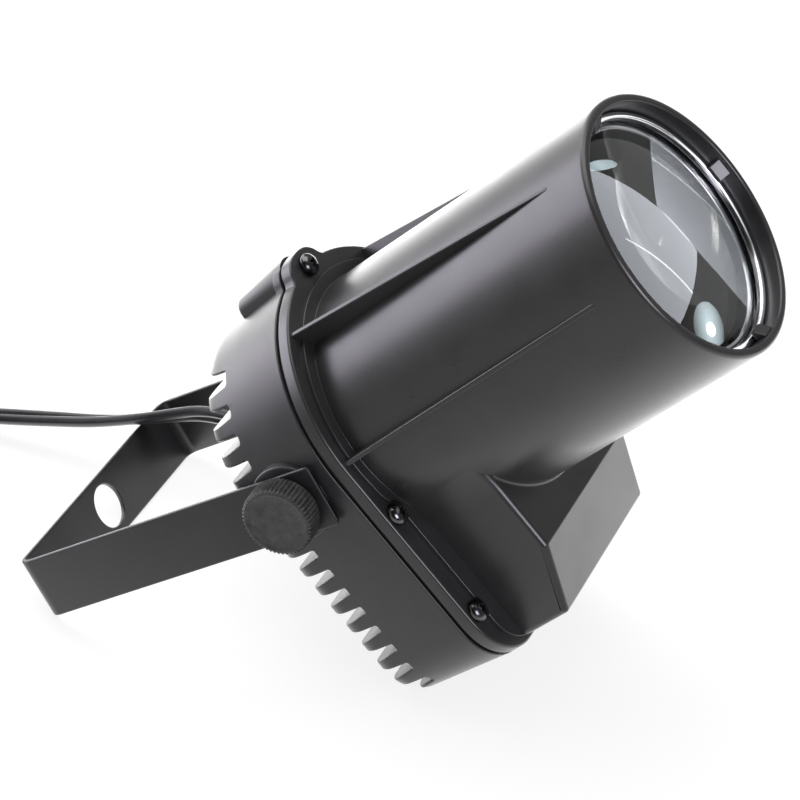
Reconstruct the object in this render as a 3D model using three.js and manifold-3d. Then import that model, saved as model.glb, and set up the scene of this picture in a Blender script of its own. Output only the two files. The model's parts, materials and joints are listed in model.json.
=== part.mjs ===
// A small LED pinspot light standing on a table, leaning back on its yoke so that the beam points up.
// Units are millimetres. +Z is up, the beam leaves towards -Y, and the origin is at the middle of the
// lamp's footprint on the table. The supply lead, its coil and its plug are not counted in that footprint.
//
// The head is drawn in a frame of its own: +Y along the beam with 0 at the seam between the two
// castings, +Z towards the top screw, +X across the beam. The yoke is drawn about its pivot.
import * as THREE from "three";
import { mergeVertices } from "three/addons/utils/BufferGeometryUtils.js";
import Module from "manifold-3d";

const wasm = await Module();
wasm.setup();

const GAP = 0.3; // clearance between pieces that touch

// How the lamp stands: tilt of the beam above the table, and the place of the head's frame.
const BEAM_TILT = 45.05;
const HEAD_Y = 3.897;
const HEAD_Z = 75.505;

// Housing outline, seen along the beam: a round top on straight sides, with rounded lower corners.
const HOUSING_HALF = 50.0;
const HOUSING_TOP_CENTRE = 2.0;
const HOUSING_BOTTOM = -74.4;
const HOUSING_CORNER = 18.0;
const FLANGE_FRONT = 4.1;

// Barrel of the front shell.
const TUBE_RADIUS = 42.5;
const TUBE_WALL = 2.9;
const RIM_Y = 116.7;
const LENS_SEAT_Y = 103.4;
const LENS_SEAT_WIDTH = 2.6;
const TAB_WIDTH = 5.6;
const TAB_FRONT = 115.2;
const TAB_BACK = 111.7;
const TAB_HEIGHT = 2.1;

// Driver compartment under the barrel.
const BOX_HALF = 35.6;
const BOX_FRONT = 32.1;
const BOX_KNEE_Z = -51.3;
const BOX_TOE_Y = 22.4;
const BOX_BOTTOM = -72.4;
const BOX_EDGE = 1.2;
const SHELL_WALL = 2.2;

// Gussets along the barrel, and the ear with the top screw.
const RIB_ANGLES = [5, 56, 124, 175];
const RIB_END = 102;
const RIB_THICKNESS = 1.5;
const RIB_FOOT_UPPER = 50.3; // distance from the beam's line at the flange
const RIB_FOOT_SIDE = 48.6;
const EAR_TOP = 57.2;

// Rear cover.
const SEAL_THICKNESS = 0.7;
const COVER_FRONT = -1.3;
const COVER_REAR = -39.7;
const COVER_DRAFT = 0.0857; // sideways millimetres per millimetre of depth
const COVER_ROUND = 8;
const COVER_WALL = 3;
const COVER_FLOOR = -22.6;
const GROOVE_FLOOR = -25.9;
const GROOVE_PITCH = 7.44;
const GROOVE_FLOOR_WIDTH = 2.44;
const GROOVE_MOUTH_WIDTH = 4.84;
const LOWER_GROOVES = 10;
const LOWER_GROOVE_START = 0.9;
const UPPER_GROOVES = 5;
const UPPER_GROOVE_START = 11.4;

// Seam screws: their places across the beam, and their sizes.
const SCREW_SPOTS = [
  { name: "seam_screw_upper_near", x: 45.1, z: -17.1 },
  { name: "seam_screw_lower_near", x: 45.1, z: -54.9 },
  { name: "seam_screw_upper_far", x: -45.1, z: -17.1 },
  { name: "seam_screw_lower_far", x: -45.1, z: -54.9 },
  { name: "seam_screw_top", x: 0, z: 51.6 },
];
const SCREW_HEAD_RADIUS = 3.0;
const SCREW_HEAD_HEIGHT = 2.1;
const SCREW_SHANK_RADIUS = 1.3;
const SCREW_LENGTH = 14;
const SCREW_HOLE_RADIUS = 1.7;
const COVER_POST_RADIUS = 4.2;
const COVER_POST_DRAW = 0.985; // share of the screw's distance from the middle, to follow the draft
const TOP_BOSS_Z = 50.2;
const TOP_BOSS_REAR = -24;
const TOP_BOSS_REAR_RADIUS = 4.6;
const TOP_BOSS_FRONT_RADIUS = 7.2;

// Yoke: a bent strap, pivoted on the rear cover's two side bosses.
const PIVOT_Y = -19.5;
const PIVOT_Z = 3.45;
const YOKE_ANGLE = 11.6; // lift of the arms above the beam's line, to the rear
const YOKE_OUTER = 52.1;
const YOKE_THICKNESS = 1.6;
const YOKE_REACH = 101.0;
const YOKE_WIDTH = 20.3;
const YOKE_NOSE = 13.2;
const YOKE_NOSE_CORNER = 1.6;
const YOKE_BEND = 4.6;
const YOKE_HOLE_RADIUS = 7.2;
const BOSS_RADIUS = 12.6;
const BOSS_ROOT = 44;
const INSERT_BOSS_RADIUS = 7.6;
const INSERT_BOSS_INNER = 37;
const INSERT_BOSS_OUTER = 47;
const INSERT_BOSS_SHIFT = 3;
const INSERT_RADIUS = 4.2;
const INSERT_INNER = 38;
const STUD_RADIUS = 2.4;
const STUD_INNER = 39;

// Clamp knobs.
const KNOB_RADIUS = 11.25;
const KNOB_BACK = 52.5;
const KNOB_FACE = 61.2;
const KNOB_FLUTES = 56;
const KNOB_FLUTE_DEPTH = 0.5;
const KNOB_STUD_DEPTH = 3;

// Lens, its ring and seal.
const LENS_RADIUS = 39.2;
const LENS_BACK_Y = 103.9;
const LENS_EDGE_Y = 108.6;
const LENS_CROWN = 7.0;
const LENS_CLEAR_RADIUS = 36.9;
const RING_INNER = 37.1;
const RING_OUTER = 39.3;
const RING_FRONT = 111.3;
const RING_GAP_WIDTH = 4;
const RING_GAP_ANGLE = 35;

// Supply lead: a flat twin flex, 7.3 by 3.6, from the gland in the rear cover to the coil on the table.
const LEAD_WIDTH = 7.3;
const LEAD_THICK = 3.6;
const GLAND_X = -27;
const GLAND_Z = 5.5;
const GLAND_BOSS_RADIUS = 9;
const GLAND_STEM_RADIUS = 5.2;
const GLAND_LENGTH = 15;
const GLAND_COLLAR_RADIUS = 7.4;
const GLAND_COLLAR_THICKNESS = 2.2;
const LEAD_ROUTE = [
  [27.6, 54.2, 35.6],
  [28.8, 60, 33.2],
  [30.8, 67, 31.6],
  [33.2, 74.5, 30.4],
  [35.4, 82, 29],
  [36.4, 89, 27.2],
  [36.2, 94.5, 25.4],
  [35.6, 100, 23.6],
  [34.8, 107, 21.3],
  [34.6, 123.6, 16],
  [34.8, 142.1, 11.6],
  [34.3, 160.9, 7.8],
  [34.0, 174, 5.0],
  [34.0, 182, 3.4],
];
const LEAD_START_ROLL = -80; // degrees: the flat lead leaves the gland nearly on edge
const LEAD_END_FLAT = 0.78; // share of the free stretch after which it lies flat

// Coil on the table: the lead spirals in on the lower layer, climbs, and spirals out on the upper one.
const COIL_X = -13;
const COIL_Y = 200;
const COIL_RADIUS = 47;
const COIL_PITCH = 10;
const COIL_TURNS = 3;
const COIL_LAYER = 4.2;
const COIL_CLIMB = 0.11; // turns, to each side of the middle of the coil
const COIL_STEPS = 24;
const COIL_HEIGHT = 2.9;
const TIE_THICKNESS = 0.8;
const TIE_WIDTH = 5;
const PLUG_START = 232;
const PLUG_LENGTH = 34;
const PLUG_AXIS = 6.2;
const PIN_SPACING = 18.6;
const PIN_RADIUS = 2;
const PIN_LENGTH = 18;

// LED engine and driver, inside.
const BLOCK_RADIUS = 14;
const BLOCK_FRONT = -5;
const LED_BOARD_THICKNESS = 1.6;
const LED_BOARD_RADIUS = 10;
const LED_SCREW_X = 7.5;
const COLLIMATOR_RADIUS = 11;
const COLLIMATOR_FRONT = 12;
const DRIVER_BOARD_Z = -62;
const DRIVER_BOARD_THICKNESS = 1.6;
const DRIVER_BOARD_HALF = 30;
const DRIVER_BOARD_REAR = -14;
const DRIVER_BOARD_FRONT = 18;
const DRIVER_POST_X = 25;
const DRIVER_POST_Y = 9;
const DRIVER_POST_RADIUS = 3.2;
const DRIVER_POST_HOLE = 1.2;
const LED_WIRE_RADIUS = 0.7;
const MAINS_WIRE_RADIUS = 1.2;

const black = (roughness, metalness = 0) =>
  new THREE.MeshStandardMaterial({ color: 0x232126, roughness, metalness });
const steel = () => new THREE.MeshStandardMaterial({ color: 0xb9bcc0, roughness: 0.3, metalness: 1 });
const brass = () => new THREE.MeshStandardMaterial({ color: 0xb08d45, roughness: 0.35, metalness: 1 });

// A closed solid from a closed geometry, with its shared vertices merged and its faces turned outwards.
function solid(geometry) {
  const bare = geometry.clone();
  bare.deleteAttribute("normal");
  bare.deleteAttribute("uv");
  const merged = mergeVertices(bare, 1e-3);
  const index = merged.index.array;
  const kept = [];
  for (let i = 0; i < index.length; i += 3) {
    const [a, b, c] = [index[i], index[i + 1], index[i + 2]];
    if (a !== b && b !== c && c !== a) kept.push(a, b, c);
  }
  const vertProperties = new Float32Array(merged.attributes.position.array);
  const build = (order) =>
    new wasm.Manifold(new wasm.Mesh({ numProp: 3, vertProperties, triVerts: new Uint32Array(order) }));
  const made = build(kept);
  if (made.volume() > 0) return made;
  const turned = [];
  for (let i = 0; i < kept.length; i += 3) turned.push(kept[i], kept[i + 2], kept[i + 1]);
  return build(turned);
}

// The geometry of a solid, for a mesh.
function geometryOf(made) {
  const mesh = made.getMesh();
  const geometry = new THREE.BufferGeometry();
  geometry.setAttribute("position", new THREE.BufferAttribute(new Float32Array(mesh.vertProperties), 3));
  geometry.setIndex(new THREE.BufferAttribute(new Uint32Array(mesh.triVerts), 1));
  geometry.computeVertexNormals();
  return geometry;
}

// Adds a named piece to a group.
function piece(group, name, made, material) {
  const mesh = new THREE.Mesh(geometryOf(made), material);
  mesh.name = name;
  group.add(mesh);
  return mesh;
}

const joined = (first, ...others) => others.reduce((sum, next) => sum.add(next), first);
const cut = (first, ...others) => others.reduce((rest, next) => rest.subtract(next), first);

// A body turned about the beam's line: the profile is a list of [radius, y].
function turned(profile, segments = 64) {
  return solid(new THREE.LatheGeometry(profile.map(([r, y]) => new THREE.Vector2(r, y)), segments));
}

// A cylinder along X, Y or Z, between two coordinates, at the other two.
function rod(axis, from, to, radius, [u, v], segments = 24, endRadius = radius) {
  const geometry = new THREE.CylinderGeometry(endRadius, radius, to - from, segments);
  geometry.translate(0, (from + to) / 2, 0);
  if (axis === "x") {
    geometry.rotateZ(-Math.PI / 2);
    geometry.translate(0, u, v);
  }
  if (axis === "y") geometry.translate(u, 0, v);
  if (axis === "z") {
    geometry.rotateX(Math.PI / 2);
    geometry.translate(u, v, 0);
  }
  return solid(geometry);
}

// A cylinder along X on one side of the head, between two distances from the middle.
function sideRod(side, inner, outer, radius, at, segments = 20) {
  const [from, to] = side < 0 ? [-outer, -inner] : [inner, outer];
  return rod("x", from, to, radius, at, segments);
}

// A box between two corners.
function block([x0, y0, z0], [x1, y1, z1]) {
  const geometry = new THREE.BoxGeometry(x1 - x0, y1 - y0, z1 - z0);
  geometry.translate((x0 + x1) / 2, (y0 + y1) / 2, (z0 + z1) / 2);
  return solid(geometry);
}

// An outline in X and Z carried from y0 to y1.
function alongBeam(points, y0, y1) {
  const shape = new THREE.Shape(points.map(([x, z]) => new THREE.Vector2(x, z)));
  const geometry = new THREE.ExtrudeGeometry(shape, { depth: y1 - y0, bevelEnabled: false });
  geometry.rotateX(Math.PI / 2);
  geometry.translate(0, y1, 0);
  return solid(geometry);
}

// An outline in Y and Z carried across from -half to +half, with its end edges rounded by edge.
function acrossBeam(points, half, edge = 0) {
  const shape = new THREE.Shape(points.map(([y, z]) => new THREE.Vector2(y, z)));
  const geometry = new THREE.ExtrudeGeometry(shape, {
    depth: 2 * (half - edge),
    bevelEnabled: edge > 0,
    bevelThickness: edge,
    bevelSize: edge,
    bevelOffset: -edge,
    bevelSegments: 2,
  });
  geometry.translate(0, 0, edge - half);
  const swap = new THREE.Matrix4().set(0, 0, 1, 0, 1, 0, 0, 0, 0, 1, 0, 0, 0, 0, 0, 1);
  return solid(geometry.applyMatrix4(swap));
}

// The housing's outline drawn in by inset, as a ring of points [x, z].
function housingRing(inset) {
  const ring = [];
  const radius = HOUSING_HALF - inset;
  const turn = Math.max(HOUSING_CORNER - inset, 1);
  const topSteps = 32;
  const cornerSteps = 5;
  for (let i = 0; i <= topSteps; i++) {
    const angle = (Math.PI * i) / topSteps;
    ring.push([radius * Math.cos(angle), HOUSING_TOP_CENTRE + radius * Math.sin(angle)]);
  }
  for (const side of [-1, 1]) {
    const centre = [side * (radius - turn), HOUSING_BOTTOM + inset + turn];
    const start = side < 0 ? Math.PI : 1.5 * Math.PI;
    for (let i = 0; i <= cornerSteps; i++) {
      const angle = start + (Math.PI / 2) * (i / cornerSteps);
      ring.push([centre[0] + turn * Math.cos(angle), centre[1] + turn * Math.sin(angle)]);
    }
  }
  return ring;
}

// A solid through rings of points that have the same count, each a list of [x, y, z].
function lofted(rings) {
  const count = rings[0].length;
  const positions = rings.flat(2);
  const index = [];
  rings.slice(1).forEach((ring, k) => {
    for (let i = 0; i < count; i++) {
      const j = (i + 1) % count;
      const [a, b] = [k * count + i, k * count + j];
      index.push(a, b, b + count, a, b + count, a + count);
    }
  });
  [0, rings.length - 1].forEach((k) => {
    for (let i = 1; i < count - 1; i++) {
      const fan = [k * count, k * count + i, k * count + i + 1];
      index.push(...(k === 0 ? fan.reverse() : fan));
    }
  });
  const geometry = new THREE.BufferGeometry();
  geometry.setAttribute("position", new THREE.Float32BufferAttribute(positions, 3));
  geometry.setIndex(index);
  return solid(geometry);
}

// The housing's outline carried through stations of [y, inset].
function housingLoft(stations) {
  return lofted(stations.map(([y, inset]) => housingRing(inset).map(([x, z]) => [x, y, z])));
}

// The ear that carries the top screw, as points [x, z].
function earOutline(inset = 0) {
  const half = [[14.0, 40], [13.7, 48.9], [12.0, 52.6], [9.5, 55.1], [6.8, 56.4], [3.5, EAR_TOP - 0.1]];
  const right = half.map(([x, z]) => [x - inset, z - inset * 0.7]);
  const left = right.map(([x, z]) => [-x, z]).reverse();
  return [...right, [0, EAR_TOP - inset], ...left];
}

// Front shell: flange, barrel, driver compartment, gussets, ear and lens tabs in one moulding.
function frontShell() {
  const bore = TUBE_RADIUS - TUBE_WALL;
  const flange = housingLoft([[0, 0], [2.7, 0.15], [3.7, 0.6], [FLANGE_FRONT, 1.3]]);
  const barrel = turned([
    [0, 0.2],
    [TUBE_RADIUS, 0.2],
    [TUBE_RADIUS, RIM_Y - 1.0],
    [TUBE_RADIUS - 0.9, RIM_Y],
    [0, RIM_Y],
  ]);
  const compartment = acrossBeam(
    [
      [0.2, BOX_BOTTOM],
      [BOX_TOE_Y, BOX_BOTTOM],
      [BOX_FRONT, BOX_KNEE_Z],
      [BOX_FRONT, -12],
      [0.2, -12],
    ],
    BOX_HALF,
    BOX_EDGE,
  );
  const ribs = RIB_ANGLES.map((angle) => {
    const level = Math.abs(Math.cos((angle * Math.PI) / 180)) > 0.9;
    const foot = level ? RIB_FOOT_SIDE : RIB_FOOT_UPPER;
    const outline = [
      [2, TUBE_RADIUS - 1],
      [2, foot],
      [FLANGE_FRONT, foot],
      [RIB_END, TUBE_RADIUS],
      [RIB_END, TUBE_RADIUS - 1],
    ];
    return acrossBeam(outline, RIB_THICKNESS / 2).rotate([0, 90 - angle, 0]);
  });
  const ear = alongBeam(earOutline(), 0, FLANGE_FRONT);
  const body = joined(flange, barrel, compartment, ...ribs, ear);

  const boreCut = turned([
    [0, -1],
    [bore, -1],
    [bore, LENS_SEAT_Y - 3],
    [bore - LENS_SEAT_WIDTH, LENS_SEAT_Y - 3],
    [bore - LENS_SEAT_WIDTH, LENS_SEAT_Y],
    [bore, LENS_SEAT_Y],
    [bore, RIM_Y + 1],
    [0, RIM_Y + 1],
  ]);
  const roomCut = acrossBeam(
    [
      [-1, BOX_BOTTOM + SHELL_WALL],
      [BOX_TOE_Y - SHELL_WALL * 0.8, BOX_BOTTOM + SHELL_WALL],
      [BOX_FRONT - SHELL_WALL, BOX_KNEE_Z + SHELL_WALL * 0.3],
      [BOX_FRONT - SHELL_WALL, -20],
      [-1, -20],
    ],
    BOX_HALF - SHELL_WALL,
  );
  const screwCuts = SCREW_SPOTS.map(({ x, z }) =>
    rod("y", -1, FLANGE_FRONT + 1, SCREW_HOLE_RADIUS, [x, z], 12),
  );
  const hollow = cut(body, boreCut, roomCut, ...screwCuts);
  const tabs = [0, 90, 180, 270].map((angle) => {
    const tab = block([bore - TAB_HEIGHT, TAB_BACK, -TAB_WIDTH / 2], [bore + 1, TAB_FRONT, TAB_WIDTH / 2]);
    return tab.rotate([0, angle, 0]);
  });
  const posts = [-1, 1].map((side) => {
    const at = [side * DRIVER_POST_X, DRIVER_POST_Y];
    return rod("z", BOX_BOTTOM + 1, DRIVER_BOARD_Z - GAP, DRIVER_POST_RADIUS, at, 16);
  });
  const postHoles = [-1, 1].map((side) => {
    const at = [side * DRIVER_POST_X, DRIVER_POST_Y];
    return rod("z", DRIVER_BOARD_Z - 5, DRIVER_BOARD_Z + 2, DRIVER_POST_HOLE, at, 10);
  });
  return cut(joined(hollow, ...tabs, ...posts), ...postHoles);
}

// How far the rear cover's wall has drawn in at a depth.
const draftAt = (y) => COVER_DRAFT * (COVER_FRONT - y);

// Rear cover: a drafted tub with a rounded rear edge, cooling grooves across it, screw posts and bosses.
function rearCover() {
  const roundStart = COVER_REAR + COVER_ROUND;
  const rounded = [0, 22.5, 45, 67.5, 90].map((degrees) => {
    const angle = (degrees * Math.PI) / 180;
    const drawn = draftAt(roundStart) + COVER_ROUND * (1 - Math.cos(angle));
    return [roundStart - COVER_ROUND * Math.sin(angle), drawn];
  });
  const outside = housingLoft([[COVER_FRONT, 0], ...rounded].reverse());
  const inside = housingLoft([
    [COVER_FLOOR, COVER_WALL + 3.2],
    [COVER_FLOOR + 2, COVER_WALL + 2.2],
    [COVER_FRONT + 1, COVER_WALL],
  ]);
  const face = YOKE_OUTER - YOKE_THICKNESS - GAP;
  const hub = [-1, 1].map((side) => sideRod(side, BOSS_ROOT, face, BOSS_RADIUS, [PIVOT_Y, PIVOT_Z], 36));
  const insertHub = [-1, 1].map((side) => {
    const at = [PIVOT_Y + INSERT_BOSS_SHIFT, PIVOT_Z];
    return sideRod(side, INSERT_BOSS_INNER, INSERT_BOSS_OUTER, INSERT_BOSS_RADIUS, at, 24);
  });
  const topBoss = rod("y", TOP_BOSS_REAR, COVER_FRONT, TOP_BOSS_REAR_RADIUS, [0, TOP_BOSS_Z], 20,
    TOP_BOSS_FRONT_RADIUS);
  const ear = alongBeam(earOutline(0.4), COVER_FRONT - 3.2, COVER_FRONT);
  const posts = SCREW_SPOTS.filter(({ x }) => x !== 0).map(({ x, z }) =>
    rod("y", COVER_FLOOR - 1, COVER_FRONT, COVER_POST_RADIUS, [x * COVER_POST_DRAW, z], 16),
  );
  const glandBoss = rod("y", COVER_REAR + 0.2, COVER_FLOOR, GLAND_BOSS_RADIUS, [GLAND_X, GLAND_Z], 28);
  const tub = cut(outside, inside);

  const groove = (z) =>
    acrossBeam(
      [
        [GROOVE_FLOOR, z - GROOVE_FLOOR_WIDTH / 2],
        [GROOVE_FLOOR, z + GROOVE_FLOOR_WIDTH / 2],
        [COVER_REAR - 0.5, z + GROOVE_MOUTH_WIDTH / 2],
        [COVER_REAR - 0.5, z - GROOVE_MOUTH_WIDTH / 2],
      ],
      HOUSING_HALF + 5,
    );
  const grooves = [];
  for (let i = 0; i < LOWER_GROOVES; i++) {
    grooves.push(groove(LOWER_GROOVE_START - i * GROOVE_PITCH));
  }
  for (let i = 0; i < UPPER_GROOVES; i++) {
    grooves.push(groove(UPPER_GROOVE_START + i * GROOVE_PITCH));
  }
  const finned = cut(tub, ...grooves);

  const keepIn = housingLoft([[COVER_REAR - 1, 3.3], [COVER_FRONT, 0.02]]);
  const inner = joined(posts[0], ...posts.slice(1)).intersect(keepIn);
  const screwEnd = FLANGE_FRONT - SCREW_LENGTH - 2;
  const screwHoles = SCREW_SPOTS.map(({ x, z }) => rod("y", screwEnd, 1, SCREW_HOLE_RADIUS, [x, z], 12));
  const insertHoles = [-1, 1].map((side) =>
    sideRod(side, INSERT_BOSS_INNER - 2, YOKE_OUTER, INSERT_RADIUS + GAP, [PIVOT_Y, PIVOT_Z], 24),
  );
  const glandAt = [GLAND_X, GLAND_Z];
  const glandHole = rod("y", COVER_REAR - 1, COVER_FLOOR + 1, GLAND_STEM_RADIUS + GAP, glandAt, 24);
  const body = joined(finned, ...hub, ...insertHub, topBoss, ear, inner, glandBoss);
  return cut(body, ...screwHoles, ...insertHoles, glandHole);
}

// Seal: a thin flat ring that fills the seam all the way round, with holes for the screws.
function seamSeal() {
  const disc = housingLoft([[-GAP - SEAL_THICKNESS, 0.9], [-GAP, 0.9]]);
  const middle = housingLoft([[-2, 2.6], [1, 2.6]]);
  const holes = SCREW_SPOTS.map(({ x, z }) => rod("y", -3, 2, SCREW_HOLE_RADIUS + 0.2, [x, z], 12));
  return cut(disc, middle, ...holes);
}

// Pan head screw with a cross recess, head at the front.
function seamScrew({ x, z }) {
  const seat = FLANGE_FRONT + GAP;
  const head = turned([
    [0, 0],
    [SCREW_HEAD_RADIUS, 0],
    [SCREW_HEAD_RADIUS, 0.9],
    [SCREW_HEAD_RADIUS * 0.82, 1.7],
    [SCREW_HEAD_RADIUS * 0.5, SCREW_HEAD_HEIGHT],
    [0, SCREW_HEAD_HEIGHT],
  ], 16);
  const shank = rod("y", -SCREW_LENGTH, 0.2, SCREW_SHANK_RADIUS, [0, 0], 12);
  const slot = block([-1.6, 1.0, -0.35], [1.6, 3, 0.35]);
  return cut(joined(head, shank), slot, slot.rotate([0, 90, 0])).translate([x, seat, z]);
}

// Lens: a flat back, a flat annular edge and a domed front.
function lens() {
  const dome = [];
  const steps = 9;
  const sphere = (LENS_CLEAR_RADIUS ** 2 + LENS_CROWN ** 2) / (2 * LENS_CROWN);
  for (let i = 0; i <= steps; i++) {
    const r = LENS_CLEAR_RADIUS * (1 - i / steps);
    dome.push([r, LENS_EDGE_Y + LENS_CROWN - sphere + Math.sqrt(sphere ** 2 - r ** 2)]);
  }
  return turned([[0, LENS_BACK_Y], [LENS_RADIUS, LENS_BACK_Y], [LENS_RADIUS, LENS_EDGE_Y], ...dome], 48);
}

// Retaining ring in front of the lens: a round bead with one small gap behind the rim's near side.
function retainingRing() {
  const bead = turned([
    [RING_INNER, LENS_EDGE_Y + GAP],
    [RING_OUTER, LENS_EDGE_Y + GAP],
    [RING_OUTER, RING_FRONT - 0.5],
    [RING_OUTER - 0.6, RING_FRONT],
    [RING_INNER + 0.6, RING_FRONT],
    [RING_INNER, RING_FRONT - 0.5],
    [RING_INNER, LENS_EDGE_Y + GAP],
  ], 48);
  const half = RING_GAP_WIDTH / 2;
  const opening = block([RING_INNER - 2, LENS_EDGE_Y - 2, -half], [RING_OUTER + 2, RING_FRONT + 2, half]);
  return cut(bead, opening.rotate([0, RING_GAP_ANGLE, 0]));
}

// Heat block on the cover's inner wall, with the LED board on its front.
function heatBlock() {
  const stem = rod("y", COVER_FLOOR + GAP, BLOCK_FRONT, BLOCK_RADIUS, [0, 0], 32);
  const screws = [-1, 1].map((side) =>
    rod("y", BLOCK_FRONT - 6, BLOCK_FRONT + 1, 1.25, [side * LED_SCREW_X, 0], 10),
  );
  return cut(stem, ...screws);
}

function ledBoard() {
  const low = BLOCK_FRONT + GAP;
  const disc = rod("y", low, low + LED_BOARD_THICKNESS, LED_BOARD_RADIUS, [0, 0], 24);
  const holes = [-1, 1].map((side) => rod("y", low - 1, low + 3, 1.5, [side * LED_SCREW_X, 0], 10));
  return cut(disc, ...holes);
}

const ledSeat = BLOCK_FRONT + 2 * GAP + LED_BOARD_THICKNESS;

function ledEmitter() {
  return turned([
    [0, ledSeat],
    [2.6, ledSeat],
    [2.6, ledSeat + 0.8],
    [1.9, ledSeat + 0.8],
    [1.3, ledSeat + 1.7],
    [0, ledSeat + 2.1],
  ], 20);
}

function ledScrew(side) {
  const at = [side * LED_SCREW_X, 0];
  const shank = rod("y", BLOCK_FRONT - 4, ledSeat + 0.1, 0.95, at, 8);
  return rod("y", ledSeat, ledSeat + 1.2, 2.0, at, 12).add(shank);
}

// Collimator: a clear cone over the LED, open at the back round the emitter.
function collimator() {
  const seat = ledSeat + 1.6;
  return turned([
    [3.1, seat],
    [4.4, seat],
    [COLLIMATOR_RADIUS, COLLIMATOR_FRONT - 1.5],
    [COLLIMATOR_RADIUS, COLLIMATOR_FRONT],
    [0, COLLIMATOR_FRONT],
    [0, seat + 3],
    [3.1, seat + 2.4],
    [3.1, seat],
  ], 32);
}

// Holder that carries the collimator's rim on three legs standing on the heat block.
function collimatorHolder() {
  const ring = turned([
    [COLLIMATOR_RADIUS + GAP, COLLIMATOR_FRONT - 3],
    [COLLIMATOR_RADIUS + 1.8, COLLIMATOR_FRONT - 3],
    [COLLIMATOR_RADIUS + 1.8, COLLIMATOR_FRONT + 1],
    [COLLIMATOR_RADIUS + GAP, COLLIMATOR_FRONT + 1],
    [COLLIMATOR_RADIUS + GAP, COLLIMATOR_FRONT - 3],
  ], 32);
  const legs = [90, 200, 340].map((angle) => {
    const low = [COLLIMATOR_RADIUS + 0.5, BLOCK_FRONT + GAP, -1.5];
    return block(low, [COLLIMATOR_RADIUS + 1.7, COLLIMATOR_FRONT, 1.5]).rotate([0, angle, 0]);
  });
  return joined(ring, ...legs);
}

// Driver board on two posts, with its parts standing on it.
function driverBoard() {
  const low = DRIVER_BOARD_Z;
  const corner = [DRIVER_BOARD_HALF, DRIVER_BOARD_FRONT, low + DRIVER_BOARD_THICKNESS];
  const plate = block([-DRIVER_BOARD_HALF, DRIVER_BOARD_REAR, low], corner);
  const holes = [-1, 1].map((side) =>
    rod("z", low - 1, low + 3, 1.6, [side * DRIVER_POST_X, DRIVER_POST_Y], 12),
  );
  return cut(plate, ...holes);
}

const boardTop = DRIVER_BOARD_Z + DRIVER_BOARD_THICKNESS + GAP;

function driverScrew(side) {
  const at = [side * DRIVER_POST_X, DRIVER_POST_Y];
  const shank = rod("z", DRIVER_BOARD_Z - 4.5, boardTop + 0.1, 0.9, at, 8);
  return rod("z", boardTop, boardTop + 1.8, 2.4, at, 12).add(shank);
}

// Wires run clear of everything between the driver and the LED board, and from the gland to the driver.
function wire(points, radius) {
  const path = new THREE.CatmullRomCurve3(points.map((p) => new THREE.Vector3(...p)));
  const circle = new THREE.Shape();
  circle.absarc(0, 0, radius, 0, 2 * Math.PI);
  return solid(new THREE.ExtrudeGeometry(circle, { steps: 14, curveSegments: 3, extrudePath: path }));
}

// Yoke: a flat strap bent into a U, drawn about the pivot with its arms running towards -Y.
function yoke() {
  const bent = (outer, reach, bend) => {
    const points = [[outer, YOKE_NOSE], [-outer, YOKE_NOSE]];
    const steps = 5;
    for (const side of [-1, 1]) {
      for (let i = 0; i <= steps; i++) {
        const angle = (side < 0 ? Math.PI : 1.5 * Math.PI) + (Math.PI / 2) * (i / steps);
        const [x, y] = [side * (outer - bend), bend - reach];
        points.push([x + bend * Math.cos(angle), y + bend * Math.sin(angle)]);
      }
    }
    return points;
  };
  const plate = (points, half) => {
    const shape = new THREE.Shape(points.map(([x, y]) => new THREE.Vector2(x, y)));
    const geometry = new THREE.ExtrudeGeometry(shape, { depth: 2 * half, bevelEnabled: false });
    return solid(geometry.translate(0, 0, -half));
  };
  const whole = plate(bent(YOKE_OUTER, YOKE_REACH, YOKE_BEND), YOKE_WIDTH / 2);
  const inside = bent(YOKE_OUTER - YOKE_THICKNESS, YOKE_REACH - YOKE_THICKNESS, YOKE_BEND - YOKE_THICKNESS);
  inside[0][1] += 2;
  inside[1][1] += 2;
  const strip = cut(whole, plate(inside, YOKE_WIDTH));
  const noseCuts = [-1, 1].map((side) => {
    const [y, z] = [YOKE_NOSE - YOKE_NOSE_CORNER, YOKE_WIDTH / 2 - YOKE_NOSE_CORNER];
    const [low, high] = side > 0 ? [z, YOKE_WIDTH] : [-YOKE_WIDTH, -z];
    const square = block([-YOKE_OUTER - 1, y, low], [YOKE_OUTER + 1, YOKE_NOSE + 1, high]);
    return square.subtract(rod("x", -YOKE_OUTER - 2, YOKE_OUTER + 2, YOKE_NOSE_CORNER, [y, side * z], 24));
  });
  const pivots = rod("x", -YOKE_OUTER - 1, YOKE_OUTER + 1, STUD_RADIUS + GAP, [0, 0], 20);
  const hole = rod("y", -YOKE_REACH - 1, -YOKE_REACH + YOKE_THICKNESS + 1, YOKE_HOLE_RADIUS, [0, 0], 32);
  return cut(strip, ...noseCuts, pivots, hole);
}

// Clamp knob with fine flutes round its rim; side is 1 for the near knob and -1 for the far one.
function knob(side) {
  const ring = (x, radius, depth) => {
    const points = [];
    for (let i = 0; i < 2 * KNOB_FLUTES; i++) {
      const angle = (Math.PI * i) / KNOB_FLUTES;
      const r = radius - (i % 2) * depth;
      points.push([side * x, r * Math.cos(angle), r * Math.sin(angle)]);
    }
    return points;
  };
  return lofted([
    ring(KNOB_BACK, KNOB_RADIUS, KNOB_FLUTE_DEPTH),
    ring(KNOB_FACE - 1.5, KNOB_RADIUS - 0.2, KNOB_FLUTE_DEPTH),
    ring(KNOB_FACE, KNOB_RADIUS - 1.6, 0),
  ]);
}

// Blind hole in the back of the knob for its stud.
function studHole(side) {
  return sideRod(side, STUD_INNER, KNOB_FACE - KNOB_STUD_DEPTH, STUD_RADIUS + GAP, [0, 0]);
}

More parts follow.
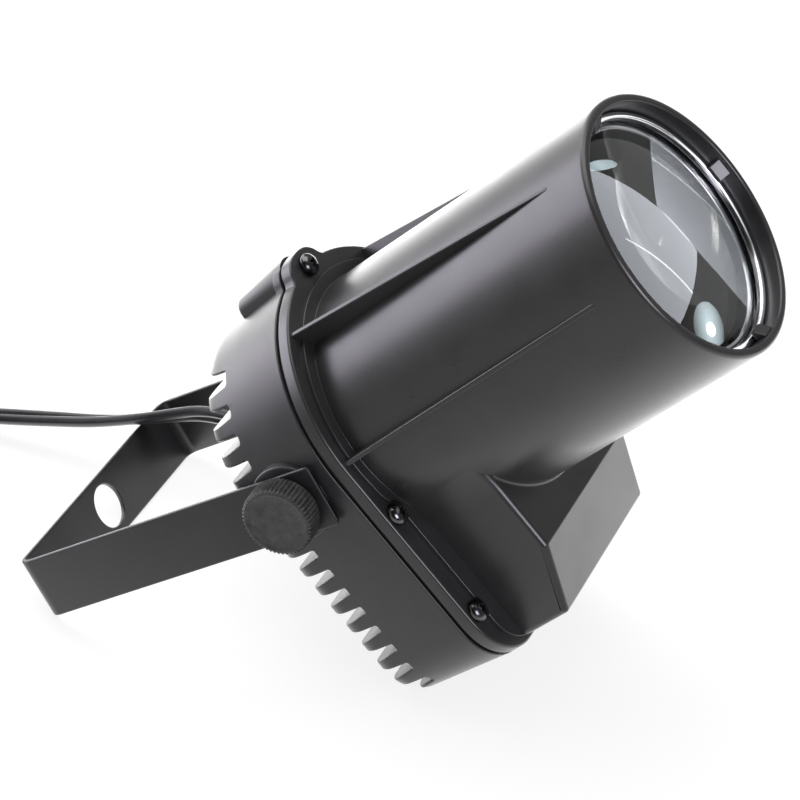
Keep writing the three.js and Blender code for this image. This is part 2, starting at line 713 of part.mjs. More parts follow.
// Stud fixed in the knob: it runs through the arm into the brass insert.
function stud(side) {
  return sideRod(side, STUD_INNER, KNOB_FACE - KNOB_STUD_DEPTH - GAP, STUD_RADIUS, [0, 0]);
}

// Brass insert in the cover's boss, with a clear bore for the stud.
function insert(side) {
  const outer = YOKE_OUTER - YOKE_THICKNESS - 2 * GAP;
  const bore = sideRod(side, INSERT_INNER - 1, outer + 1, STUD_RADIUS + GAP, [PIVOT_Y, PIVOT_Z]);
  return sideRod(side, INSERT_INNER, outer, INSERT_RADIUS, [PIVOT_Y, PIVOT_Z]).subtract(bore);
}

// Gland: a stem in the cover, a collar outside it and a tapered sleeve round the lead.
function gland() {
  const outer = COVER_REAR - GAP;
  const sleeve = turned([
    [0, COVER_REAR - GLAND_LENGTH],
    [4.2, COVER_REAR - GLAND_LENGTH],
    [5.6, outer - GLAND_COLLAR_THICKNESS],
    [GLAND_COLLAR_RADIUS, outer - GLAND_COLLAR_THICKNESS],
    [GLAND_COLLAR_RADIUS, outer],
    [GLAND_STEM_RADIUS, outer],
    [GLAND_STEM_RADIUS, COVER_FLOOR + 1.5],
    [0, COVER_FLOOR + 1.5],
  ], 24);
  return sleeve.translate([GLAND_X, 0, GLAND_Z]);
}

// A flat lead's path: its wide side is turned by a roll that depends on how far along it is.
class FlatLead extends THREE.CatmullRomCurve3 {
  constructor(points, rollAt) {
    super(points, false, "centripetal");
    this.rollAt = rollAt;
    this.arcLengthDivisions = 1200;
  }

  computeFrenetFrames(steps) {
    const up = new THREE.Vector3(0, 0, 1);
    const frames = { tangents: [], normals: [], binormals: [] };
    for (let i = 0; i <= steps; i++) {
      const tangent = this.getTangentAt(i / steps);
      const level = tangent.clone().cross(up).normalize();
      const raised = level.clone().cross(tangent);
      const roll = (this.rollAt(i / steps) * Math.PI) / 180;
      const wide = level.clone().multiplyScalar(Math.cos(roll)).addScaledVector(raised, Math.sin(roll));
      frames.tangents.push(tangent);
      frames.normals.push(wide);
      frames.binormals.push(wide.clone().cross(tangent));
    }
    return frames;
  }
}

// The lead's flat section with round edges, as points across its width and thickness.
function leadSection(pointsPerEdge) {
  const points = [];
  const [flat, round] = [(LEAD_WIDTH - LEAD_THICK) / 2, LEAD_THICK / 2];
  for (const side of [1, -1]) {
    for (let i = 0; i < pointsPerEdge; i++) {
      const angle = -Math.PI / 2 + (Math.PI * i) / (pointsPerEdge - 1);
      points.push([side * (flat + round * Math.cos(angle)), side * round * Math.sin(angle)]);
    }
  }
  return points;
}

function leadTube(path, steps, section) {
  const shape = new THREE.Shape(section.map(([u, v]) => new THREE.Vector2(u, v)));
  return solid(new THREE.ExtrudeGeometry(shape, { steps, extrudePath: path }));
}

const smooth = (t) => {
  const s = Math.min(Math.max(t, 0), 1);
  return s * s * (3 - 2 * s);
};

// Centre line of the coil with its straight start and its tail to the plug.
function coilPoints() {
  const start = new THREE.Vector3(COIL_X + COIL_RADIUS, COIL_Y - LEAD_WIDTH, COIL_HEIGHT);
  const points = [start, start.clone().setY(COIL_Y - LEAD_WIDTH / 2)];
  const middle = COIL_TURNS / 2;
  const stepCount = COIL_TURNS * COIL_STEPS;
  for (let i = 0; i <= stepCount; i++) {
    const turn = (COIL_TURNS * i) / stepCount;
    const radius = COIL_RADIUS - COIL_PITCH * (middle - Math.hypot(turn - middle, 0.02));
    const climb = smooth((turn - middle + COIL_CLIMB) / (2 * COIL_CLIMB));
    const angle = 2 * Math.PI * turn;
    points.push(new THREE.Vector3(COIL_X + radius * Math.cos(angle), COIL_Y + radius * Math.sin(angle),
      COIL_HEIGHT + COIL_LAYER * climb));
  }
  const high = COIL_HEIGHT + COIL_LAYER;
  const side = COIL_X + COIL_RADIUS;
  for (const share of [0.35, 0.75, 1]) {
    const y = COIL_Y + (PLUG_START - GAP - COIL_Y) * share;
    points.push(new THREE.Vector3(side, y, high + (PLUG_AXIS - high) * smooth(share * 1.2)));
  }
  return points;
}

// Least gap between parts of the coil that are not next to each other, measured on its surface points.
function leastGap(path) {
  const steps = 260;
  const near = 24;
  const section = leadSection(6);
  const frames = path.computeFrenetFrames(steps);
  const length = path.getLength();
  const rings = frames.tangents.map((_, i) => {
    const centre = path.getPointAt(i / steps);
    return section.map(([u, v]) =>
      centre.clone().addScaledVector(frames.normals[i], u).addScaledVector(frames.binormals[i], v),
    );
  });
  let least = Infinity;
  rings.forEach((ring, i) => {
    for (let j = i + 1; j <= steps; j++) {
      if (((j - i) / steps) * length < near) continue;
      for (const a of ring) {
        for (const b of rings[j]) {
          least = Math.min(least, a.distanceToSquared(b));
        }
      }
    }
  });
  return Math.sqrt(least);
}

// Tie: a flat band round the coil's far side.
function coilTie() {
  const low = COIL_Y + COIL_RADIUS - COIL_PITCH * 1.25 - LEAD_WIDTH / 2 - 1.4;
  const high = COIL_Y + COIL_RADIUS + LEAD_WIDTH / 2 - 0.8;
  const top = COIL_HEIGHT + COIL_LAYER + LEAD_THICK / 2 + GAP;
  const half = TIE_WIDTH / 2;
  const t = TIE_THICKNESS;
  const outer = block([COIL_X - half, low - t, 0], [COIL_X + half, high + t, top + t]);
  return outer.subtract(block([COIL_X - half - 1, low, t], [COIL_X + half + 1, high, top]));
}

// Flat two-pin plug lying beside the coil.
function plugBody() {
  const axis = COIL_X + COIL_RADIUS;
  const section = (y, halfWide, halfThick) => {
    const points = [];
    const count = 20;
    for (let i = 0; i < count; i++) {
      const angle = (2 * Math.PI * i) / count;
      const [c, s] = [Math.cos(angle), Math.sin(angle)];
      const squared = (v) => Math.sign(v) * Math.abs(v) ** 0.6;
      points.push([axis + halfWide * squared(c), y, PLUG_AXIS + halfThick * squared(s)]);
    }
    return points;
  };
  const end = PLUG_START + PLUG_LENGTH;
  const body = lofted([
    section(PLUG_START, 4.8, 3.6),
    section(PLUG_START + 8, 5.6, 4.4),
    section(PLUG_START + 16, 11.5, 5.8),
    section(end - 2, 13.0, 6.1),
    section(end, 12.2, 5.4),
  ]);
  const holes = [-1, 1].map((side) =>
    rod("y", end - 8, end + 1, PIN_RADIUS + GAP, [axis + (side * PIN_SPACING) / 2, PLUG_AXIS], 12),
  );
  return cut(body, ...holes);
}

function plugPin(side) {
  const end = PLUG_START + PLUG_LENGTH;
  const at = [COIL_X + COIL_RADIUS + (side * PIN_SPACING) / 2, PLUG_AXIS];
  return rod("y", end - 7.5, end + PIN_LENGTH, PIN_RADIUS, at, 12);
}

const lamp = new THREE.Group();
const head = new THREE.Group();
head.rotation.set((-BEAM_TILT * Math.PI) / 180, 0, Math.PI);
head.position.set(0, HEAD_Y, HEAD_Z);
lamp.add(head);

piece(head, "front_shell", frontShell(), black(0.42));
piece(head, "rear_cover", rearCover(), black(0.5, 0.3));
piece(head, "seam_seal", seamSeal(), black(0.8));
SCREW_SPOTS.forEach((spot) => piece(head, spot.name, seamScrew(spot), black(0.35, 1)));
piece(head, "lens", lens(), new THREE.MeshStandardMaterial({ color: 0xdfe6ee, roughness: 0.02,
  transparent: true, opacity: 0.4 }));
piece(head, "lens_ring", retainingRing(), steel());
piece(head, "heat_block", heatBlock(), new THREE.MeshStandardMaterial({ color: 0xa8abae, roughness: 0.4,
  metalness: 1 }));
piece(head, "led_board", ledBoard(), new THREE.MeshStandardMaterial({ color: 0xe8e8e4, roughness: 0.5 }));
piece(head, "led_emitter", ledEmitter(),
  new THREE.MeshStandardMaterial({ color: 0xf0d860, roughness: 0.2 }));
piece(head, "led_screw_near", ledScrew(1), steel());
piece(head, "led_screw_far", ledScrew(-1), steel());
piece(head, "collimator", collimator(), new THREE.MeshStandardMaterial({ color: 0xe6edf2, roughness: 0.03,
  transparent: true, opacity: 0.4 }));
piece(head, "collimator_holder", collimatorHolder(), black(0.6));
piece(head, "driver_board", driverBoard(),
  new THREE.MeshStandardMaterial({ color: 0x2d6b3c, roughness: 0.5 }));
piece(head, "driver_transformer", block([-9, -8, boardTop], [9, 6, boardTop + 13]),
  new THREE.MeshStandardMaterial({ color: 0xd8b53a, roughness: 0.6 }));
piece(head, "driver_capacitor", rod("z", boardTop, boardTop + 13, 5, [-19, -5], 20), black(0.4));
piece(head, "driver_choke", rod("z", boardTop, boardTop + 8, 4.5, [18, -6], 20), black(0.7));
piece(head, "driver_screw_near", driverScrew(1), steel());
piece(head, "driver_screw_far", driverScrew(-1), steel());
const ledWireRoute = (side) => [
  [side * 13, 4, boardTop + 1],
  [side * 17, 8, -44],
  [side * 19, 4, -20],
  [side * 12, -1.5, -8],
  [side * 7, -1.6, -4.5],
];
const mainsWireRoute = [
  [GLAND_X, COVER_FLOOR + 2.2, GLAND_Z],
  [GLAND_X, -12, 0],
  [-28, -8, -25],
  [-27, -9, -48],
  [-27, -9, boardTop + 1],
];
piece(head, "led_wire_positive", wire(ledWireRoute(1), LED_WIRE_RADIUS),
  new THREE.MeshStandardMaterial({ color: 0xb02a22, roughness: 0.5 }));
piece(head, "led_wire_negative", wire(ledWireRoute(-1), LED_WIRE_RADIUS), black(0.5));
piece(head, "mains_wire_inside", wire(mainsWireRoute, MAINS_WIRE_RADIUS), black(0.5));
piece(head, "pivot_insert_near", insert(1), brass());
piece(head, "pivot_insert_far", insert(-1), brass());
piece(head, "cord_gland", gland(), black(0.7));

// The yoke swings about the pivot, and each knob turns with its stud about the same line.
const yokeFrame = new THREE.Group();
yokeFrame.position.set(0, PIVOT_Y, PIVOT_Z);
yokeFrame.rotation.x = (-YOKE_ANGLE * Math.PI) / 180;
head.add(yokeFrame);
piece(yokeFrame, "yoke", yoke(), black(0.45, 0.4));
[["near", 1], ["far", -1]].forEach(([where, side]) => {
  piece(yokeFrame, "knob_" + where, cut(knob(side), studHole(side)), black(0.6));
  piece(yokeFrame, "knob_stud_" + where, stud(side), steel());
});

// The lead leaves the gland square to its end, so its first points lie on the gland's own line.
lamp.updateMatrixWorld(true);
const glandPoint = (y) => head.localToWorld(new THREE.Vector3(GLAND_X, y, GLAND_Z));
const glandEnd = COVER_REAR - GLAND_LENGTH;
const leadEnd = new THREE.Vector3(COIL_X + COIL_RADIUS, COIL_Y - LEAD_WIDTH - GAP, COIL_HEIGHT);
const beforeEnd = leadEnd.clone().setY(leadEnd.y - 4);
const leadPath = new FlatLead(
  [
    glandPoint(glandEnd - GAP),
    glandPoint(glandEnd - 4),
    ...LEAD_ROUTE.map((p) => new THREE.Vector3(...p)),
    beforeEnd,
    leadEnd,
  ],
  (share) => LEAD_START_ROLL * (1 - smooth(share / LEAD_END_FLAT)),
);
const coilPath = new FlatLead(coilPoints(), () => 0);
piece(lamp, "cord_lead", leadTube(leadPath, 26, leadSection(4)), black(0.55));
piece(lamp, "cord_coil", leadTube(coilPath, COIL_TURNS * COIL_STEPS + 6, leadSection(3)), black(0.55));
piece(lamp, "coil_tie", coilTie(), black(0.6));
piece(lamp, "plug_body", plugBody(), black(0.5));
piece(lamp, "plug_pin_near", plugPin(-1), brass());
piece(lamp, "plug_pin_far", plugPin(1), brass());
console.log("lead " + leadPath.getLength().toFixed(1) + " mm free, " + coilPath.getLength().toFixed(1) +
  " mm wound; least gap in the coil " + leastGap(coilPath).toFixed(2) + " mm");

export default lamp;
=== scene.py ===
"""A small LED pinspot light standing on a pale studio floor.

The shapes are worked out in millimetres in the lamp's own frames, as on a maker's drawing, and a
Placement carries them to the shared frame, in metres. The head's frame has +Y along the beam with 0 at
the seam between the castings, +Z towards the top screw and +X on the near side.
"""
import json
import logging
import math
from dataclasses import dataclass
from enum import Enum

import bmesh
import bpy
import numpy as np
from mathutils import Euler, Matrix, Vector


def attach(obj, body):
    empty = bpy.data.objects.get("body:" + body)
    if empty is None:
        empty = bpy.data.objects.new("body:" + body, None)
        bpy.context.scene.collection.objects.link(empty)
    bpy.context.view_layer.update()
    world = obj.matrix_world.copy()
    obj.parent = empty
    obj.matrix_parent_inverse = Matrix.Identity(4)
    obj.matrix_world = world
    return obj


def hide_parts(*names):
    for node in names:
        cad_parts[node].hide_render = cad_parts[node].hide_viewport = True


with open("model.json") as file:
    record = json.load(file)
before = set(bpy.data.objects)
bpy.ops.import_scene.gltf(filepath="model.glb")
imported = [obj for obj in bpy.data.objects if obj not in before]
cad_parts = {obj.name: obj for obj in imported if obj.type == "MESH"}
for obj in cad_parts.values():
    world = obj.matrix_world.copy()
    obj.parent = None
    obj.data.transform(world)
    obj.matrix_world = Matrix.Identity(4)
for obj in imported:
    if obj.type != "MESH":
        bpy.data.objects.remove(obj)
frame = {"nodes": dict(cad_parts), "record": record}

LOG = logging.getLogger("pinspot")
MM = 0.001
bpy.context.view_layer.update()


class Ends(Enum):
    """How a skin is closed past its first and last ring."""

    FLAT = "flat"
    LOOPED = "looped"


@dataclass(frozen=True)
class Placement:
    """A local frame in millimetres, and how it lies in the shared frame."""

    turn: np.ndarray
    origin: np.ndarray

    def carry(self, points: np.ndarray) -> np.ndarray:
        """Returns the local points in the shared frame, in metres: turned, shifted, then scaled."""
        return (points @ self.turn.T + self.origin) * MM

    def within(self, turn: np.ndarray, origin: np.ndarray) -> "Placement":
        """Returns the placement of a frame that lies inside this one."""
        return Placement(self.turn @ turn, self.turn @ origin + self.origin)


def turn_about_x(degrees: float) -> np.ndarray:
    """Returns the matrix that turns Y towards Z by an angle."""
    c, s = math.cos(math.radians(degrees)), math.sin(math.radians(degrees))
    return np.array([[1, 0, 0], [0, c, -s], [0, s, c]], float)


TABLE = Placement(np.eye(3), np.zeros(3))
HALF_TURN = np.diag([-1.0, -1.0, 1.0])
HEAD = Placement(turn_about_x(-45.05) @ HALF_TURN, np.array([0, 3.897, 75.505]))
PIVOT = np.array([0, -19.5, 3.45])
YOKE = HEAD.within(turn_about_x(-11.6), PIVOT)
BEAM = HEAD.turn @ np.array([0.0, 1.0, 0.0])
# The barrel's inside gives way to its outside between these distances from the beam's line, in millimetres.
BORE_EDGE = (40.2, 41.0)


@dataclass
class Shell:
    """A closed surface: its points and its faces as rows of point numbers."""

    points: np.ndarray
    faces: list

    def spun(self, degrees: float) -> "Shell":
        """Returns the shell turned about the beam's line, from +X towards +Z."""
        c, s = math.cos(math.radians(degrees)), math.sin(math.radians(degrees))
        turn = np.array([[c, 0, -s], [0, 1, 0], [s, 0, c]])
        return Shell(self.points @ turn.T, self.faces)

    def shifted(self, x: float, y: float, z: float) -> "Shell":
        """Returns the shell moved by three distances."""
        return Shell(self.points + np.array([x, y, z]), self.faces)

    def flipped(self) -> "Shell":
        """Returns the shell mirrored across the middle plane, x to minus x."""
        return Shell(self.points * np.array([-1, 1, 1]), [face[::-1] for face in self.faces])


def skin(rings: np.ndarray, ends: Ends = Ends.FLAT) -> Shell:
    """Lays a skin over rings of points: face (i, j) joins points i and i + 1 of rings j and j + 1.

    Args:
        rings: Points as [ring, place on the ring, xyz].
        ends: Whether the first and last rings are capped, or the last ring joins the first.

    Returns:
        The closed shell.
    """
    rows, count, _ = rings.shape
    grid = np.arange(rows * count).reshape(rows, count)
    if ends is Ends.LOOPED:
        low, high = grid, np.roll(grid, -1, axis=0)
    else:
        low, high = grid[:-1], grid[1:]
    quads = np.stack([low, np.roll(low, -1, 1), np.roll(high, -1, 1), high], -1).reshape(-1, 4).tolist()
    caps = [grid[0][::-1].tolist(), grid[-1].tolist()] if ends is Ends.FLAT else []
    return Shell(rings.reshape(-1, 3), quads + caps)


def turned(profile: list, segments: int = 128, ends: Ends = Ends.FLAT) -> Shell:
    """Turns a profile about the beam's line: point (r, y) goes to (r cos a, y, r sin a).

    Args:
        profile: Points as (radius, y). With looped ends it is a ring's closed section.
        segments: Steps in the full turn.
        ends: How the profile is closed.

    Returns:
        The turned shell.
    """
    line = np.array(profile, float)
    angle = np.linspace(0, 2 * np.pi, segments, endpoint=False)
    radius, depth = line[:, :1], np.repeat(line[:, 1:2], segments, 1)
    rings = np.stack([radius * np.cos(angle), depth, radius * np.sin(angle)], -1)
    return skin(rings, ends)


def arc(centre: tuple, radius: float, start: float, stop: float, steps: int = 6) -> list:
    """Returns points on an arc, from one angle in degrees to another, both ends included."""
    angle = np.radians(np.linspace(start, stop, steps + 1))
    return list(zip(centre[0] + radius * np.cos(angle), centre[1] + radius * np.sin(angle)))


def rounded_polygon(corners: list, radius: float, steps: int = 5) -> np.ndarray:
    """Rounds a polygon's corners: each gives way to the arc that touches both of its edges.

    Args:
        corners: Points (u, v) in order.
        radius: Radius of every corner, made smaller where an edge is short.
        steps: Steps in each arc.

    Returns:
        Points of the outline, the same number whatever the radius.
    """
    at = np.array(corners, float)
    before, after = np.roll(at, 1, 0) - at, np.roll(at, -1, 0) - at
    reach_before, reach_after = np.linalg.norm(before, axis=1), np.linalg.norm(after, axis=1)
    before, after = before / reach_before[:, None], after / reach_after[:, None]
    half = np.arccos(np.clip((before * after).sum(1), -1, 1)) / 2
    cut = np.minimum(radius / np.tan(half), 0.49 * np.minimum(reach_before, reach_after))
    share = np.linspace(0, 1, steps + 1)[None, :, None]
    start, end = at + before * cut[:, None], at + after * cut[:, None]
    size = cut * np.tan(half)
    middle = before + after
    middle /= np.maximum(np.linalg.norm(middle, axis=1), 1e-9)[:, None]
    centre = at + middle * (size / np.sin(half))[:, None]
    a, b = start - centre, end - centre
    swing = (np.pi - 2 * half)[:, None, None]
    weight = np.where(swing > 1e-4, np.sin(swing), 1)
    arms = (np.sin((1 - share) * swing) * a[:, None] + np.sin(share * swing) * b[:, None]) / weight
    return (centre[:, None] + arms).reshape(-1, 2)


def drawn_in(outline: np.ndarray, inset: float) -> np.ndarray:
    """Moves every point of a closed outline inwards, square to the line through its neighbours.

    Args:
        outline: Points (u, v), in either order round the outline.
        inset: How far every point moves.

    Returns:
        The moved points.
    """
    along = np.roll(outline, -1, 0) - np.roll(outline, 1, 0)
    along /= np.maximum(np.linalg.norm(along, axis=1), 1e-9)[:, None]
    inward = np.stack([-along[:, 1], along[:, 0]], 1)
    u, v = outline[:, 0], outline[:, 1]
    area = (u * np.roll(v, -1) - np.roll(u, -1) * v).sum()
    return outline + inward * inset * (1 if area > 0 else -1)


def quarter(end: float, radius: float, steps: int, way: int = 1) -> list:
    """Gives the stations of an edge that is rounded by a quarter circle.

    Args:
        end: Where the edge ends.
        radius: Radius of the rounding.
        steps: Steps in the quarter circle.
        way: 1 where the plate comes up to the end from below, -1 where it comes down to it.

    Returns:
        Pairs of place and inset, the last one at the end.
    """
    return [(end - way * radius * (1 - math.sin(a)), radius * (1 - math.cos(a)))
            for a in np.linspace(0, np.pi / 2, steps + 1)]


def round_stations(start: float, end: float, first: float, last: float, steps: int = 4) -> list:
    """Gives the stations of a plate whose two edges are rounded by quarter circles.

    Args:
        start: Where the plate begins.
        end: Where it ends, beyond start.
        first: Radius of the edge at the start.
        last: Radius of the edge at the end.
        steps: Steps in each quarter circle.

    Returns:
        Pairs of place and inset.
    """
    return quarter(start, first, steps, -1)[::-1] + quarter(end, last, steps)


def straight(radius: float, low: float, high: float) -> list:
    """Returns the profile of a plain rod or hole that runs from low to high."""
    return [(0, low), (radius, low), (radius, high), (0, high)]


def oblong(left: float, right: float, low: float, high: float) -> list:
    """Returns the four corners of an oblong."""
    return [(left, low), (right, low), (right, high), (left, high)]


def lofted(sections: list, axis: int, ends: Ends = Ends.FLAT) -> Shell:
    """Lays a skin over flat outlines, each at its own place along an axis.

    Args:
        sections: Pairs of a place and an outline; the outlines have equally many points.
        axis: The axis that the places are on, 0 across the beam or 1 along it.
        ends: How the skin is closed.

    Returns:
        The closed shell.
    """
    return skin(np.array([np.insert(outline, axis, place, 1) for place, outline in sections]), ends)


def plate_along(outline: np.ndarray, stations: list) -> Shell:
    """Carries an outline in X and Z along the beam, drawn in by each station's inset."""
    return lofted([(place, drawn_in(outline, inset)) for place, inset in stations], 1)


def plate_across(outline: np.ndarray, stations: list) -> Shell:
    """Carries an outline in Y and Z across the beam, drawn in by each station's inset."""
    return lofted([(place, drawn_in(outline, inset)) for place, inset in stations], 0)


def rod_along(x: float, z: float, profile: list, segments: int = 40) -> Shell:
    """A body turned about a line parallel to the beam, through x and z; the profile is (radius, y)."""
    return turned(profile, segments).shifted(x, 0, z)


def rod_across(y: float, z: float, profile: list, segments: int = 48) -> Shell:
    """A body turned about a line square to the beam, through y and z; the profile is (radius, x)."""
    made = turned(profile, segments)
    x, depth, rise = made.points[:, 1], made.points[:, 0], made.points[:, 2]
    return Shell(np.stack([x, depth + y, rise + z], 1), made.faces)


def rod_up(x: float, y: float, profile: list, segments: int = 24) -> Shell:
    """A body turned about a line parallel to Z, through x and y; the profile is (radius, z)."""
    made = turned(profile, segments)
    across, rise, depth = made.points[:, 0], made.points[:, 1], made.points[:, 2]
    return Shell(np.stack([across + x, depth + y, rise], 1), [face[::-1] for face in made.faces])


def brick(low: tuple, high: tuple) -> Shell:
    """Returns a plain block between two corners."""
    outline = np.array(oblong(low[0], high[0], low[2], high[2]), float)
    return plate_along(outline, [(low[1], 0), (high[1], 0)])


def smooth(share: np.ndarray) -> np.ndarray:
    """Returns an even ease from 0 to 1: three times the square less twice the cube."""
    s = np.clip(share, 0, 1)
    return s * s * (3 - 2 * s)


def smooth_line(points: np.ndarray, spacing: float) -> np.ndarray:
    """Draws one smooth curve through points: a Catmull-Rom curve with a knot step of root distance.

    Args:
        points: Points that the curve goes through.
        spacing: Distance between the points of the result.

    Returns:
        Points at even distances along the curve.
    """
    held = np.vstack([2 * points[0] - points[1], points, 2 * points[-1] - points[-2]])
    gap = np.sqrt(np.linalg.norm(np.diff(held, axis=0), axis=1))
    knot = np.concatenate([[0], np.cumsum(gap)])
    p0, p1, p2, p3 = held[:-3, None], held[1:-2, None], held[2:-1, None], held[3:, None]
    t0, t1, t2, t3 = (knot[k:k - 3 if k < 3 else None, None, None] for k in range(4))
    t = t1 + (t2 - t1) * np.linspace(0, 1, 24, endpoint=False)[None, :, None]
    a1 = (t1 - t) / (t1 - t0) * p0 + (t - t0) / (t1 - t0) * p1
    a2 = (t2 - t) / (t2 - t1) * p1 + (t - t1) / (t2 - t1) * p2
    a3 = (t3 - t) / (t3 - t2) * p2 + (t - t2) / (t3 - t2) * p3
    b1 = (t2 - t) / (t2 - t0) * a1 + (t - t0) / (t2 - t0) * a2
    b2 = (t3 - t) / (t3 - t1) * a2 + (t - t1) / (t3 - t1) * a3
    line = np.vstack([((t2 - t) / (t2 - t1) * b1 + (t - t1) / (t2 - t1) * b2).reshape(-1, 3), points[-1:]])
    along = np.concatenate([[0], np.cumsum(np.linalg.norm(np.diff(line, axis=0), axis=1))])
    even = np.linspace(0, along[-1], int(along[-1] / spacing) + 1)
    return np.stack([np.interp(even, along, line[:, k]) for k in range(3)], 1)


def new_object(name: str, data: bpy.types.ID) -> bpy.types.Object:
    """Adds an object to the scene and returns it."""
    made = bpy.data.objects.new(name, data)
    bpy.context.scene.collection.objects.link(made)
    return made


class Workbench:
    """Turns shells into Blender pieces."""

    SMOOTH_UNDER = math.radians(32)
    WELD = 2e-7

    def raw(self, name: str, shell: Shell, placement: Placement) -> bpy.types.Object:
        """Makes a welded object with its faces outwards.

        Args:
            name: Name of the object.
            shell: Shape in local millimetres.
            placement: Where the local frame lies.

        Returns:
            The new object, at the origin.
        """
        mesh = bpy.data.meshes.new(name)
        mesh.from_pydata(placement.carry(shell.points).tolist(), [], shell.faces)
        work = bmesh.new()
        work.from_mesh(mesh)
        bmesh.ops.remove_doubles(work, verts=work.verts, dist=self.WELD)
        bmesh.ops.dissolve_degenerate(work, edges=work.edges, dist=self.WELD)
        bmesh.ops.recalc_face_normals(work, faces=work.faces)
        work.to_mesh(mesh)
        work.free()
        return new_object(name, mesh)

    def finished(self, made: bpy.types.Object) -> bpy.types.Object:
        """Shades a piece smoothly, except where its faces meet at more than an angle, and returns it."""
        made.data.shade_smooth()
        made.data.set_sharp_from_angle(angle=self.SMOOTH_UNDER)
        made.data.update()
        level = made.modifiers.new("level_faces", "WEIGHTED_NORMAL")
        level.keep_sharp = True
        return made

    def piece(self, name: str, shell: Shell, placement: Placement) -> bpy.types.Object:
        """Returns one finished piece made of a single shell."""
        return self.finished(self.raw(name, shell, placement))

    def changed(self, body: bpy.types.Object, steps: list, placement: Placement) -> bpy.types.Mesh:
        """Runs Boolean steps on an object, one after the other.

        Args:
            body: The object that they start from, which itself stays as it is.
            steps: Pairs of an operation and the shell that it uses.
            placement: Where the shells' frame lies.

        Returns:
            The resulting mesh.
        """
        tools = []
        for number, (operation, shell) in enumerate(steps):
            tool = self.raw(f"{body.name}_tool_{number}", shell, placement)
            change = body.modifiers.new(f"step_{number}", "BOOLEAN")
            change.operation, change.solver, change.object = operation, "MANIFOLD", tool
            tools.append(tool)
        bpy.context.view_layer.update()
        settled = body.evaluated_get(bpy.context.evaluated_depsgraph_get())
        mesh = bpy.data.meshes.new_from_object(settled)
        body.modifiers.clear()
        for tool in tools:
            bpy.data.objects.remove(tool, do_unlink=True)
        return mesh

    def kept_inside(self, shell: Shell, limit: Shell) -> Shell:
        """Cuts a shell down to the part that lies inside another one.

        Args:
            shell: The shell that is cut.
            limit: The shell that it has to lie in.

        Returns:
            The part inside.
        """
        body = self.raw("kept", shell, TABLE)
        mesh = self.changed(body, [("INTERSECT", limit)], TABLE)
        bpy.data.objects.remove(body, do_unlink=True)
        points = np.zeros(len(mesh.vertices) * 3, np.float32)
        mesh.vertices.foreach_get("co", points)
        faces = [list(face.vertices) for face in mesh.polygons]
        return Shell(points.reshape(-1, 3).astype(float) / MM, faces)

    def fused(self, name: str, added: list, removed: list, placement: Placement,
              added_late: list = (), removed_late: list = ()) -> bpy.types.Object:
        """Joins shells into one solid and cuts others out of it, twice over.

        Args:
            name: Name of the piece.
            added: Shells that are joined first.
            removed: Shells that are then cut out.
            placement: Where the local frame lies.
            added_late: Shells that are joined after the cuts.
            removed_late: Shells that are cut out last.

        Returns:
            The finished piece.
        """
        body = self.raw(name, added[0], placement)
        steps = [("UNION", s) for s in added[1:]] + [("DIFFERENCE", s) for s in removed]
        steps += [("UNION", s) for s in added_late] + [("DIFFERENCE", s) for s in removed_late]
        mesh = body.data = self.changed(body, steps, placement)
        mesh.name = name
        work = bmesh.new()
        work.from_mesh(mesh)
        bmesh.ops.remove_doubles(work, verts=work.verts, dist=self.WELD)
        open_edges = sum(not edge.is_manifold for edge in work.edges)
        work.to_mesh(mesh)
        work.free()
        LOG.info("%s: %d faces, %d open edges", name, len(mesh.polygons), open_edges)
        return self.finished(body)


BENCH = Workbench()


class Number:
    """A number in a material. Its operators add Math nodes, so finishes read as plain sums."""

    def __init__(self, nodes: "Nodes", link: bpy.types.NodeSocket) -> None:
        """Wraps an output socket of a tree."""
        self.nodes, self.link = nodes, link

    def math(self, operation: str, first: "Number | float", second: "Number | float") -> "Number":
        """Returns the result of one Math node."""
        return self.nodes.number("ShaderNodeMath", {"operation": operation}, {0: first, 1: second})

    def __add__(self, other: "Number | float") -> "Number":
        """Returns the sum."""
        return self.math("ADD", self, other)

    __radd__ = __add__

    def __mul__(self, other: "Number | float") -> "Number":
        """Returns the product."""
        return self.math("MULTIPLY", self, other)

    __rmul__ = __mul__

    def __sub__(self, other: "Number | float") -> "Number":
        """Returns the difference."""
        return self.math("SUBTRACT", self, other)

    def __rsub__(self, other: "Number | float") -> "Number":
        """Returns the difference the other way round."""
        return self.math("SUBTRACT", other, self)

    def between(self, low: float, high: float) -> "Number":
        """Returns 0 below low, 1 above high, and an even slope in between."""
        return self.nodes.number("ShaderNodeMapRange", {}, {"From Min": low, "From Max": high, "Value": self})


